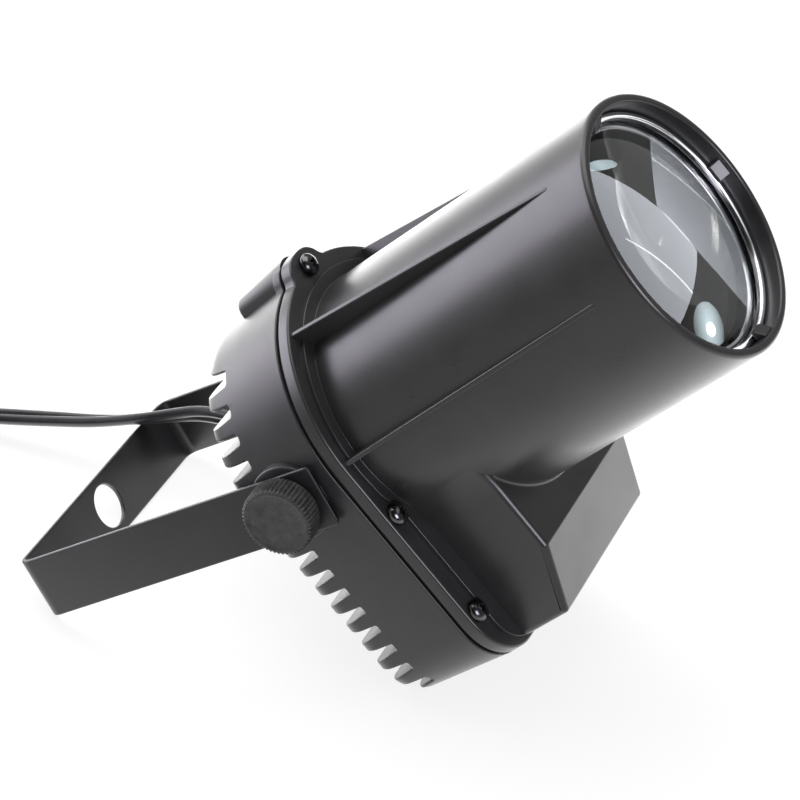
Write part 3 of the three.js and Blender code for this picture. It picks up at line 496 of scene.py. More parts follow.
class Nodes:
    """A node tree, and the ways in which this scene adds to it."""

    def __init__(self, tree: bpy.types.NodeTree) -> None:
        """Empties the tree."""
        self.tree = tree
        tree.nodes.clear()

    def node(self, kind: str, settings: dict, inputs: dict) -> bpy.types.Node:
        """Adds a node of any kind.

        Args:
            kind: The node's type.
            settings: Its properties.
            inputs: Values or links, by socket name or number.

        Returns:
            The new node.
        """
        made = self.tree.nodes.new(kind)
        for name, value in settings.items():
            setattr(made, name, value)
        for name, value in inputs.items():
            if isinstance(value, Number):
                value = value.link
            if isinstance(value, bpy.types.NodeSocket):
                self.tree.links.new(value, made.inputs[name])
            else:
                made.inputs[name].default_value = value
        return made

    def number(self, kind: str, settings: dict, inputs: dict, output: "int | str" = 0) -> Number:
        """Adds a node and returns one of its outputs as a number."""
        return Number(self, self.node(kind, settings, inputs).outputs[output])

    def measure(self, operation: str, *vectors: "bpy.types.NodeSocket | np.ndarray") -> Number:
        """Returns the number that a Vector Math node gives, such as a length or a dot product."""
        inputs = dict(enumerate(vectors))
        return self.number("ShaderNodeVectorMath", {"operation": operation}, inputs, "Value")

    def rays(self, *kinds: str) -> Number:
        """Returns 1 for rays of any of the kinds named, and 0 for the rest."""
        path = self.node("ShaderNodeLightPath", {}, {})
        found, *others = (Number(self, path.outputs[f"Is {kind} Ray"]) for kind in kinds)
        for other in others:
            found = found.math("MAXIMUM", found, other)
        return found


class Recipe(Nodes):
    """One material's nodes, with its output and its main shader."""

    def __init__(self, name: str, constants: dict) -> None:
        """Makes the material.

        Args:
            name: Name of the material.
            constants: Values that are the same all over the surface, by socket name.
        """
        self.material = bpy.data.materials.new(name)
        self.material.use_nodes = True
        super().__init__(self.material.node_tree)
        self.shader = self.node("ShaderNodeBsdfPrincipled", {}, constants)
        self.output = self.node("ShaderNodeOutputMaterial", {}, {"Surface": self.shader.outputs[0]})
        self.place = self.node("ShaderNodeTexCoord", {}, {}).outputs["Object"]

    def feed(self, name: str, value: "Number | bpy.types.NodeSocket") -> None:
        """Links a value that varies over the surface to a socket of the main shader."""
        link = value.link if isinstance(value, Number) else value
        self.tree.links.new(link, self.shader.inputs[name])

    def noise(self, size: float, detail: float = 2.0, roughness: float = 0.5,
              stretch: tuple = (1.0, 1.0, 1.0)) -> Number:
        """Gives a noise of about 0 to 1.

        Args:
            size: How far across its lumps are, in millimetres.
            detail: How many finer layers it has.
            roughness: How strong each finer layer is.
            stretch: Factors on the place; a low one draws the lumps out along that axis.

        Returns:
            The noise.
        """
        spread = self.node("ShaderNodeMapping", {}, {"Vector": self.place, "Scale": stretch})
        return self.number("ShaderNodeTexNoise", {}, {"Vector": spread.outputs[0], "Scale": 1 / (size * MM),
                                                      "Detail": detail, "Roughness": roughness})

    def tone(self, share: Number, first: tuple, second: tuple) -> bpy.types.NodeSocket:
        """Returns a colour between two, by a share from 0 to 1."""
        made = self.node("ShaderNodeMix", {"data_type": "RGBA"}, {0: share, 6: (*first, 1), 7: (*second, 1)})
        return made.outputs[2]

    def bump(self, height: Number, depth: float) -> None:
        """Feeds the shader's normal from a height of 0 to 1 that stands for depth millimetres."""
        made = self.node("ShaderNodeBump", {}, {"Height": height, "Distance": depth * MM, "Strength": 1.0})
        self.feed("Normal", made.outputs[0])


@dataclass(frozen=True)
class Coating:
    """Paint, moulded plastic or rubber: a colour with slow patches, fine grain and dust.

    Sizes of grain, patches and depth are millimetres. With a smooth bore, the barrel's inside has no grain.
    """

    name: str
    colour: tuple
    light: tuple
    roughness: float
    spread: float = 0.06
    grain: float = 0.5
    grain_depth: float = 0.01
    patch: float = 14.0
    coat: float = 0.0
    specular: float = 0.5
    dust: float = 0.0
    smooth_bore: bool = False
    patch_share: float = 0.45
    grain_share: float = 0.35

    def outside(self, recipe: Recipe) -> Number:
        """Tells the barrel's bore from everything outside it.

        The square of a point's distance to the beam's line is that of its distance to a place on the
        line, less that of its reach along the line.

        Args:
            recipe: The material's nodes.

        Returns:
            1 outside the bore and 0 in it.
        """
        arm = recipe.node("ShaderNodeVectorMath", {"operation": "SUBTRACT"},
                          {0: recipe.place, 1: HEAD.carry(np.zeros(3))}).outputs[0]
        reach, whole = (recipe.measure("DOT_PRODUCT", arm, other) for other in (BEAM, arm))
        low, high = ((radius * MM) ** 2 for radius in BORE_EDGE)
        return (whole - reach * reach).between(low, high)

    def dress(self) -> bpy.types.Material:
        """Returns the material: colour and roughness drift with the patches, the grain lifts both."""
        recipe = Recipe(self.name, {"Coat Weight": self.coat, "Coat Roughness": 0.12,
                                    "Specular IOR Level": self.specular})
        patch = recipe.noise(self.patch, 3.0, 0.55).between(0.3, 0.7)
        grain = recipe.noise(self.grain, 1.0, 0.5)
        if self.smooth_bore:
            grain = (grain - 0.5) * self.outside(recipe) + 0.5
        share = patch * self.patch_share + grain * self.grain_share
        if self.dust:
            share = share + recipe.noise(self.grain * 3, 2.0, 0.5).between(0.64, 0.8) * self.dust
        recipe.feed("Base Color", recipe.tone(share, self.colour, self.light))
        rough = self.roughness - self.spread * 0.5 + patch * self.spread + (grain - 0.5) * (self.spread * 1.4)
        recipe.feed("Roughness", rough)
        recipe.bump(grain, self.grain_depth)
        return recipe.material


@dataclass(frozen=True)
class Metal:
    """Bare or plated metal with fine marks along one way."""

    name: str
    colour: tuple
    dark: tuple
    roughness: float
    spread: float = 0.1
    marks: float = 0.4
    stretch: tuple = (1.0, 1.0, 1.0)

    def dress(self) -> bpy.types.Material:
        """Returns the material: marks drawn out along one way vary the colour and the roughness."""
        recipe = Recipe(self.name, {"Metallic": 1.0})
        marks = recipe.noise(self.marks, 3.0, 0.6, self.stretch)
        stain = recipe.noise(self.marks * 12, 2.0).between(0.35, 0.7)
        recipe.feed("Base Color", recipe.tone(marks * 0.4 + stain * 0.4, self.colour, self.dark))
        rough = self.roughness - self.spread * 0.5 + marks * self.spread + stain * self.spread
        recipe.feed("Roughness", rough)
        recipe.bump(marks, 0.004)
        return recipe.material


@dataclass(frozen=True)
class Glass:
    """Clear glass or acrylic that is a touch greyer in slow patches."""

    name: str
    colour: tuple
    bend: float
    coat: float = 0.0

    def dress(self) -> bpy.types.Material:
        """Returns the material: slow patches shade the clear body a little."""
        recipe = Recipe(self.name, {"Transmission Weight": 1.0, "IOR": self.bend, "Roughness": 0.0,
                                    "Coat Weight": self.coat, "Coat Roughness": 0.0})
        patch = recipe.noise(9, 3.0, 0.6).between(0.45, 0.8)
        recipe.feed("Base Color", recipe.tone(patch * 0.2, self.colour, (0.8, 0.82, 0.84)))
        return recipe.material


@dataclass(frozen=True)
class WovenBand:
    """A narrow woven band: ribs across it and softer ones along it."""

    name: str
    # colour is used in the weave's hollows and light on its crowns: the step between them is painted shade
    # and painted highlight.
    colour: tuple
    light: tuple
    rib: float = 0.9

    def dress(self) -> bpy.types.Material:
        """Returns the material: two crossing waves give the weave's height, and the same height paints the
        base colour darker in the hollows and lighter on the crowns, as painted shade and painted highlight.
        """
        recipe = Recipe(self.name, {"Roughness": 0.8, "Sheen Weight": 0.3})
        inputs = {"Vector": recipe.place, "Scale": 1 / (self.rib * MM * 3), "Distortion": 0.6}
        across, along = (recipe.number("ShaderNodeTexWave", {"bands_direction": way}, inputs, 1)
                         for way in "XY")
        height = across * along
        # Painted shade and painted highlight: the base colour is darker in the weave's hollows and lighter on
        # its crowns.
        recipe.feed("Base Color", recipe.tone(height, self.colour, self.light))
        recipe.bump(height, 0.08)
        return recipe.material


@dataclass(frozen=True)
class Board:
    """A circuit board: solder mask with paler tracks under it."""

    name: str
    mask: tuple
    track: tuple
    cell: float = 6.0

    def dress(self) -> bpy.types.Material:
        """Returns the material: the edges of a cell pattern stand for the tracks."""
        recipe = Recipe(self.name, {"Roughness": 0.35, "Coat Weight": 0.2})
        cells = recipe.number("ShaderNodeTexVoronoi", {"feature": "DISTANCE_TO_EDGE"},
                              {"Vector": recipe.place, "Scale": 1 / (self.cell * MM)})
        track = 1 - cells.between(0.03, 0.06)
        recipe.feed("Base Color", recipe.tone(track * 0.7, self.mask, self.track))
        recipe.bump(track, 0.03)
        return recipe.material


class Finishes:
    """Every finish of the lamp, made once and shared by the pieces that have it."""

    ALL = (
        Coating("black_shell", (0.027, 0.0265, 0.028), (0.045, 0.044, 0.047), 0.31, grain=0.45,
                grain_depth=0.0025, specular=0.65, smooth_bore=True),
        Coating("black_casting", (0.029, 0.028, 0.031), (0.050, 0.048, 0.053), 0.36, grain=0.6,
                grain_depth=0.010, specular=0.5),
        Coating("painted_steel", (0.022, 0.022, 0.024), (0.036, 0.035, 0.039), 0.36, grain=0.5,
                grain_depth=0.010),
        Coating("knob_plastic", (0.014, 0.014, 0.015), (0.115, 0.115, 0.118), 0.50, 0.14, 0.8, 0.09, 3.0,
                dust=0.5),
        Coating("seal", (0.008, 0.008, 0.008), (0.02, 0.02, 0.02), 0.75),
        Coating("gland_rubber", (0.010, 0.010, 0.011), (0.025, 0.025, 0.027), 0.62, 0.1, 0.8, 0.02),
        Coating("lead_sheath", (0.012, 0.012, 0.015), (0.028, 0.028, 0.032), 0.34, 0.08, 0.9, 0.008),
        Coating("plug_plastic", (0.012, 0.012, 0.013), (0.028, 0.028, 0.03), 0.42, 0.08, 0.7, 0.02),
        Coating("black_holder", (0.015, 0.015, 0.016), (0.03, 0.03, 0.032), 0.6),
        Coating("capacitor_sleeve", (0.015, 0.015, 0.022), (0.03, 0.03, 0.05), 0.25, coat=0.5),
        Coating("ferrite", (0.03, 0.03, 0.032), (0.06, 0.06, 0.062), 0.7, 0.1, 0.4, 0.03),
        Coating("yellow_tape", (0.62, 0.38, 0.03), (0.75, 0.52, 0.10), 0.35, 0.1, 2.0, 0.02),
        Coating("red_wire", (0.40, 0.02, 0.015), (0.55, 0.05, 0.03), 0.4),
        Coating("black_wire", (0.014, 0.014, 0.014), (0.03, 0.03, 0.03), 0.4),
        Coating("led_phosphor", (0.85, 0.62, 0.08), (0.95, 0.78, 0.25), 0.15, coat=1.0),
        Metal("blackened_screw", (0.16, 0.16, 0.165), (0.06, 0.06, 0.062), 0.16, 0.08, 0.6),
        Metal("bright_ring", (0.93, 0.94, 0.96), (0.80, 0.82, 0.85), 0.14, 0.05, 0.5),
        Metal("bare_aluminium", (0.72, 0.73, 0.74), (0.52, 0.53, 0.54), 0.32, 0.12, 0.3, (1, 1, 0.15)),
        Metal("bright_steel", (0.72, 0.72, 0.73), (0.5, 0.5, 0.51), 0.28),
        Metal("brass_insert", (0.78, 0.57, 0.24), (0.55, 0.38, 0.14), 0.3),
        Metal("nickel_pin", (0.78, 0.75, 0.68), (0.6, 0.57, 0.5), 0.2),
        Glass("lens_glass", (0.97, 0.99, 1.0), 1.52, 1.0),
        Glass("clear_acrylic", (0.96, 0.98, 0.99), 1.49),
        WovenBand("tie_band", (0.010, 0.010, 0.011), (0.035, 0.035, 0.037)),
        Board("green_board", (0.015, 0.12, 0.035), (0.06, 0.24, 0.09)),
        Board("white_board", (0.78, 0.78, 0.76), (0.86, 0.86, 0.84)),
    )

    def __init__(self) -> None:
        """Makes every material, and reads which slot each CAD node has."""
        self.made = {finish.name: finish.dress() for finish in self.ALL}
        self.slots = {part["node"]: part["material_slot"] for part in frame["record"]["subparts"]}

    def put(self, piece: bpy.types.Object, slot: str) -> None:
        """Dresses a piece in the finish of one of the record's slots."""
        piece.data.materials.clear()
        piece.data.materials.append(self.made[slot])

    def put_on_node(self, name: str) -> None:
        """Dresses a CAD node that stays in the finish that the record gives it.

        Args:
            name: Name of the node.
        """
        node = frame["nodes"][name]
        for place in node.material_slots:
            place.link = "OBJECT"
            place.material = self.made[self.slots[name]]
        if not node.material_slots:
            raise ValueError(f"{name} has no material slot")


@dataclass
class Assembly:
    """A sub-assembly of the lamp: what its classes share."""

    finishes: Finishes

    def settle(self, piece: bpy.types.Object, body: str, *nodes: str) -> bpy.types.Object:
        """Gives a piece its body, its finish and the nodes that it stands for.

        Args:
            piece: The finished piece.
            body: The CAD body that it rides on.
            nodes: The CAD nodes that it replaces; the first gives it its finish.

        Returns:
            The piece.
        """
        slot = self.finishes.slots[nodes[0]]
        self.finishes.put(piece, slot)
        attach(piece, body)
        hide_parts(*nodes)
        LOG.info("%s stands for %s", piece.name, ", ".join(nodes))
        return piece


@dataclass(frozen=True)
class Panel:
    """A panel seen only in one bright piece.

    It hangs at a distance in metres, some way from the point that it aims at; the way, its long side and
    the point are in the head's frame. Its light may be held to a narrow cone, in degrees, and it then
    shows only near that point.
    """

    name: str
    way: tuple
    long: tuple
    size: tuple
    glow: float
    colour: tuple
    shape: str = "RECTANGLE"
    aim: tuple = (0.0, 112.0, 0.0)
    distance: float = 0.8
    cone: float = 180.0

    def power(self) -> float:
        """Returns the power that gives the glow, whatever the size and the cone."""
        half = math.radians(self.cone / 2)
        focus = 1.0 if self.cone >= 180 else 1 - half / math.tan(half)
        return self.glow * math.pi * self.size[0] * self.size[1] * focus


@dataclass(frozen=True)
class Softbox:
    """A soft lamp of the studio. One for sheen only lights no matt surface."""

    name: str
    place: tuple
    size: tuple
    power: float
    colour: tuple = (1.0, 1.0, 1.0)
    sheen_only: bool = False


@dataclass
class Studio:
    """Camera, floor, backdrop, lamps and panels. Places and sizes are metres in the shared frame."""

    camera_at: tuple = (-0.84425, -0.30176, 0.64128)
    camera_turn: tuple = (57.785, -2.427, -68.462)
    focal_length: float = 157.5
    sensor: float = 36.0
    lens_panels: tuple = (
        Panel("lens_window", (-0.485, 0.872, -0.068), (0.26, 0.0, -0.075), (0.64, 0.66), 3.2,
              (0.88, 0.92, 1.0)),
        Panel("lens_line", (-0.555, 0.785, -0.2), (-0.16, -0.21, -0.40), (0.38, 0.010), 4.5,
              (0.95, 0.97, 1.0)),
        Panel("lens_band", (-0.60, 0.80, -0.06), (-0.343, -0.486, 0.113), (0.046, 0.0035), 7.0,
              (1.0, 0.97, 0.90), "RECTANGLE", (-24.0, 112.0, -10.2), 0.144, 18.0),
        Panel("lens_glint", (-0.64, 0.59, -0.49), (-0.21, -0.29, -0.05), (0.052, 0.044), 5.0,
              (0.78, 0.95, 1.0), "ELLIPSE", (17.4, 110.8, -26.5), 0.15, 19.0),
        Panel("lens_spark", (-0.642, 0.567, -0.516), (-0.21, -0.29, -0.05), (0.016, 0.012), 7.0,
              (1.0, 1.0, 1.0), "ELLIPSE", (16.9, 111.5, -23.5), 0.15, 28.0),
        Panel("lens_crescent", (-0.74, 0.63, 0.19), (-0.117, -0.112, -0.119), (0.045, 0.011), 3.6,
              (0.75, 0.94, 1.0), "ELLIPSE", (6.0, 111.0, 29.5), 0.15, 28.0),
    )
    ring_panels: tuple = (
        Panel("ring_front", (0.5, 0.84, -0.18), (0.26, 0.0, -0.075), (1.1, 1.1), 1.1, (0.97, 0.98, 1.0)),
        Panel("ring_side", (-0.84, 0.45, -0.1), (0.26, 0.0, -0.075), (1.1, 1.1), 1.1, (0.97, 0.98, 1.0)),
    )
    softboxes: tuple = (
        Softbox("top_softbox", (0.25, 0.15, 1.3), (1.3, 0.9), 9.0),
        Softbox("back_softbox", (0.7, 0.9, 0.95), (0.9, 0.9), 5.0),
        Softbox("front_softbox", (-0.7, -1.1, 0.9), (0.7, 0.7), 3.0),
        Softbox("sheen_softbox", (-0.08, 1.15, 0.32), (0.95, 0.6), 7.5, (0.90, 0.86, 1.0), True),
        Softbox("edge_softbox", (-0.65, -1.0, 0.75), (0.6, 0.6), 9.0, (0.90, 0.86, 1.0), True),
    )
    lamp_aim: tuple = (0.0, -0.01, 0.09)
    clip: tuple = (0.05, 20.0)
    floor_half: float = 3.0
    floor_glow: float = 0.66
    floor_white: float = 1.25
    floor_sheen: float = 2.2
    floor_back: float = 2.0
    floor_near: float = 0.5
    floor_dim: float = 0.2
    behind_x: tuple = (-0.12, 0.15)
    behind_y: tuple = (-0.5, -0.05)
    back_y: tuple = (-0.05, 0.15)
    near_reach: tuple = (0.3, 1.1)
    far_reach: tuple = (0.5, 1.3)
    backdrop: float = 1.2
    backdrop_dark: tuple = (-0.05, 0.75)
    beam_side: tuple = (-0.2, 0.12)
    beam_side_dim: float = 0.78
    fill: float = 0.3

    def build(self) -> None:
        """Makes the camera, the floor, the world and the lamps."""
        self.camera()
        self.floor()
        self.world()
        self.lamps()

    def area_light(self, name: str, size: tuple, power: float, colour: tuple,
                   shape: str = "RECTANGLE") -> bpy.types.Object:
        """Adds an area light.

        Args:
            name: Its name.
            size: Its two sides.
            power: Its power in watts.
            colour: Its colour.
            shape: Its outline.

        Returns:
            The light, still at the origin.
        """
        data = bpy.data.lights.new(name, "AREA")
        data.shape, data.size, data.size_y = shape, *size
        data.energy, data.color = power, colour
        return new_object(name, data)

    def hang(self, panel: Panel, piece: bpy.types.Object) -> None:
        """Hangs a panel that only one piece reflects.

        Args:
            panel: The panel.
            piece: The piece that it shows in.
        """
        toward = HEAD.turn @ (np.array(panel.way) / np.linalg.norm(panel.way))
        long = HEAD.turn @ np.array(panel.long, float)
        long -= toward * (long @ toward)
        long /= np.linalg.norm(long)
        axes = np.stack([long, np.cross(toward, long), toward], 1)
        place = Vector(HEAD.carry(np.array(panel.aim)) + toward * panel.distance)
        made = self.area_light(panel.name, panel.size, panel.power(), panel.colour, panel.shape)
        made.data.spread = math.radians(panel.cone)
        made.matrix_world = Matrix.Translation(place) @ Matrix(axes.tolist()).to_4x4()
        made.visible_camera = False
        receivers = bpy.data.collections.new(f"{panel.name}_receivers")
        receivers.objects.link(piece)
        made.light_linking.receiver_collection = receivers

    def panels(self, lens: bpy.types.Object, ring: bpy.types.Object) -> None:
        """Hangs the panels that show in the lens and in the bright ring."""
        for panel in self.lens_panels:
            self.hang(panel, lens)
        for panel in self.ring_panels:
            self.hang(panel, ring)

    def camera(self) -> None:
        """Places the camera at the photograph's viewing angle."""
        data = bpy.data.cameras.new("camera")
        data.sensor_width, data.lens = self.sensor, self.focal_length
        data.clip_start, data.clip_end = self.clip
        made = new_object("camera", data)
        made.location = self.camera_at
        made.rotation_euler = Euler([math.radians(a) for a in self.camera_turn], "XYZ")
        bpy.context.scene.camera = made

    def floor(self) -> None:
        """Makes the pale floor.

        Where it is looked at it is part lit and part glowing white, and wholly glowing far away. In
        mirrors it glows most behind the lamp and less elsewhere.
        """
        reach = self.floor_half
        mesh = bpy.data.meshes.new("floor")
        corners = [(x, y, 0) for x, y in oblong(-reach, reach, -reach, reach)]
        mesh.from_pydata(corners, [], [(0, 1, 2, 3)])
        made = new_object("floor", mesh)
        recipe = Recipe("floor", {"Roughness": 0.9, "Specular IOR Level": 0.1})
        patch = recipe.noise(400, 2.0)
        recipe.feed("Base Color", recipe.tone(patch, (0.90, 0.90, 0.90), (0.93, 0.93, 0.93)))
        across, along = (recipe.number("ShaderNodeSeparateXYZ", {}, {0: recipe.place}, way) for way in "XY")
        away = recipe.measure("LENGTH", recipe.place)
        mirrored = recipe.rays("Glossy")
        behind = across.between(*self.behind_x) * along.between(*self.behind_y)
        back = along.between(*self.back_y) * self.floor_back
        near = 1 - away.between(*self.near_reach)
        sheen = behind * (back + self.floor_sheen) + near * self.floor_near + self.floor_dim
        strength = mirrored * sheen + (1 - mirrored) * self.floor_white
        glow = recipe.node("ShaderNodeEmission", {}, {"Color": (1, 1, 1, 1), "Strength": strength})
        far = 1 - (1 - mirrored) * (1 - away.between(*self.far_reach))
        seen = recipe.rays("Camera", "Glossy", "Transmission")
        share = seen * (self.floor_glow + far * (1 - self.floor_glow))
        shaders = {1: recipe.shader.outputs[0], 2: glow.outputs[0]}
        mixed = recipe.node("ShaderNodeMixShader", {}, {0: share, **shaders})
        recipe.tree.links.new(mixed.outputs[0], recipe.output.inputs["Surface"])
        mesh.materials.append(recipe.material)

    def world(self) -> None:
        """Makes the white backdrop.

        It is plain white to the camera. In mirrors it darkens towards the camera and on the side that
        the beam points to, and it lights the lamp less than it shows.
        """
        world = bpy.data.worlds.new("studio")
        bpy.context.scene.world = world
        world.use_nodes = True
        world.cycles.sampling_method = "NONE"
        nodes = Nodes(world.node_tree)
        place = nodes.node("ShaderNodeTexCoord", {}, {}).outputs["Generated"]
        facing, ahead = (nodes.measure("DOT_PRODUCT", place, way)
                         for way in (Vector(self.camera_at).normalized(), BEAM))
        dark_side = facing.between(*self.backdrop_dark)
        open_side = 1 - ahead.between(*self.beam_side) * self.beam_side_dim
        seen, looked = nodes.rays("Camera"), nodes.rays("Glossy", "Transmission")
        strength = looked * (self.backdrop - dark_side) * open_side + (1 - looked) * self.fill
        strength = seen.math("MAXIMUM", seen, strength)
        back = nodes.node("ShaderNodeBackground", {}, {"Color": (1, 1, 1, 1), "Strength": strength})
        nodes.node("ShaderNodeOutputWorld", {}, {"Surface": back.outputs[0]})

    def lamps(self) -> None:
        """Hangs the softboxes, each turned to the pinspot."""
        aim = Vector(self.lamp_aim)
        for box in self.softboxes:
            made = self.area_light(box.name, box.size, box.power, box.colour)
            made.visible_diffuse = not box.sheen_only
            made.location = box.place
            made.rotation_euler = (aim - Vector(box.place)).to_track_quat("-Z", "Y").to_euler()


@dataclass
class Housing:
    """What the castings share: their outline seen along the beam, and where screws and gland are."""

    half: float = 50.0
    top_centre: float = 2.0
    bottom: float = -74.4
    corner: float = 18.0
    screw_x: float = 45.1
    screw_rows: tuple = (-17.1, -54.9)
    top_screw: float = 51.6
    rear: float = -39.7
    gland_x: float = -27.0
    gland_z: float = 5.5

    def outline(self, inset: float = 0.0) -> np.ndarray:
        """Draws the outline: a half circle on straight sides with round corners below.

        Args:
            inset: How far it is drawn in.

        Returns:
            Points (x, z), as many whatever the inset.
        """
        radius, turn = self.half - inset, max(self.corner - inset, 0.6)
        low = self.bottom + inset + turn
        rise = np.linspace(self.top_centre, low, 16)[1:-1]
        across = np.linspace(turn - radius, radius - turn, 24)[1:-1]
        left = [(-radius, z) for z in rise]
        right = [(radius, z) for z in rise[::-1]]
        floor = [(x, self.bottom + inset) for x in across]
        return np.array(arc((0, self.top_centre), radius, 0, 180, 96) + left
                        + arc((turn - radius, low), turn, 180, 270, 14) + floor
                        + arc((radius - turn, low), turn, 270, 360, 14) + right)

    def loft(self, stations: list) -> Shell:
        """Carries the outline along the beam through stations of (y, inset)."""
        return lofted([(place, self.outline(inset)) for place, inset in stations], 1)

    def ear_outline(self) -> np.ndarray:
        """Returns the ear's outline: a round lobe about the top screw on a spreading foot."""
        flare = [(9.9, 51.6), (8.3, 54.0), (6.0, 55.8), (3.1, 56.6), (0, 56.8)]
        half = np.array([(14.6, 41), (13.6, 46.6), (11.9, 49.7), *flare])
        both = np.vstack([half, (half * [-1, 1])[::-1][1:]])
        return smooth_line(np.column_stack([both, np.zeros(len(both))]), 0.7)[:, :2]

    def screw_spots(self) -> list:
        """Returns (x, z) of the side screws: the near ones from the top down, then the far ones."""
        return [(side * self.screw_x, z) for side in (1, -1) for z in self.screw_rows]

    def screw_holes(self, radius: float, low: float, high: float) -> list:
        """Returns the holes of the five seam screws, from one depth to another."""
        return [rod_along(x, z, straight(radius, low, high), 24)
                for x, z in [*self.screw_spots(), (0, self.top_screw)]]

    def edge_at(self, z: np.ndarray, inset: float) -> tuple:
        """Finds the right-hand edge at heights z.

        Args:
            z: Heights.
            inset: How far the outline is drawn in.

        Returns:
            Half the width at each height, and the angle of the edge's outward normal.
        """
        radius, turn = self.half - inset, max(self.corner - inset, 0.6)
        low = self.bottom + inset + turn
        up, down = np.maximum(z - self.top_centre, 0), np.maximum(low - z, 0)
        over, under = np.sqrt(np.maximum(radius**2 - up**2, 0)), np.sqrt(np.maximum(turn**2 - down**2, 0))
        width = np.where(z > low, over, radius - turn + under)
        return width, np.where(z > low, np.arctan2(up, over), -np.arctan2(down, under))

    def strip(self, low: float, high: float, inset: float, rounding: float) -> np.ndarray:
        """Cuts a level strip out of the outline, with rounded corners.

        The strip is first drawn in by the rounding, and every edge point then goes back out along its
        normal, with an arc at each corner.

        Args:
            low: Lower edge of the strip.
            high: Upper edge of the strip.
            inset: How far the outline is drawn in.
            rounding: Radius of the strip's corners.

        Returns:
            Points (x, z) of the closed strip.
        """
        z = np.linspace(low + rounding, high - rounding, 15)
        if high >= self.half + self.top_centre - inset - 0.01:
            z = low + rounding + (high - low - 2 * rounding) * np.sin(np.linspace(0, np.pi / 2, 15))
        width, normal = self.edge_at(z, inset + rounding)
        end = np.stack([width + rounding * np.cos(normal), z + rounding * np.sin(normal)], 1)
        first = arc((width[0], z[0]), rounding, -90, math.degrees(normal[0]), 4)
        last = arc((width[-1], z[-1]), rounding, math.degrees(normal[-1]), 90, 4)
        right = np.vstack([first[:-1], end, last[1:]])
        return np.vstack([right, (right * [-1, 1])[::-1]])


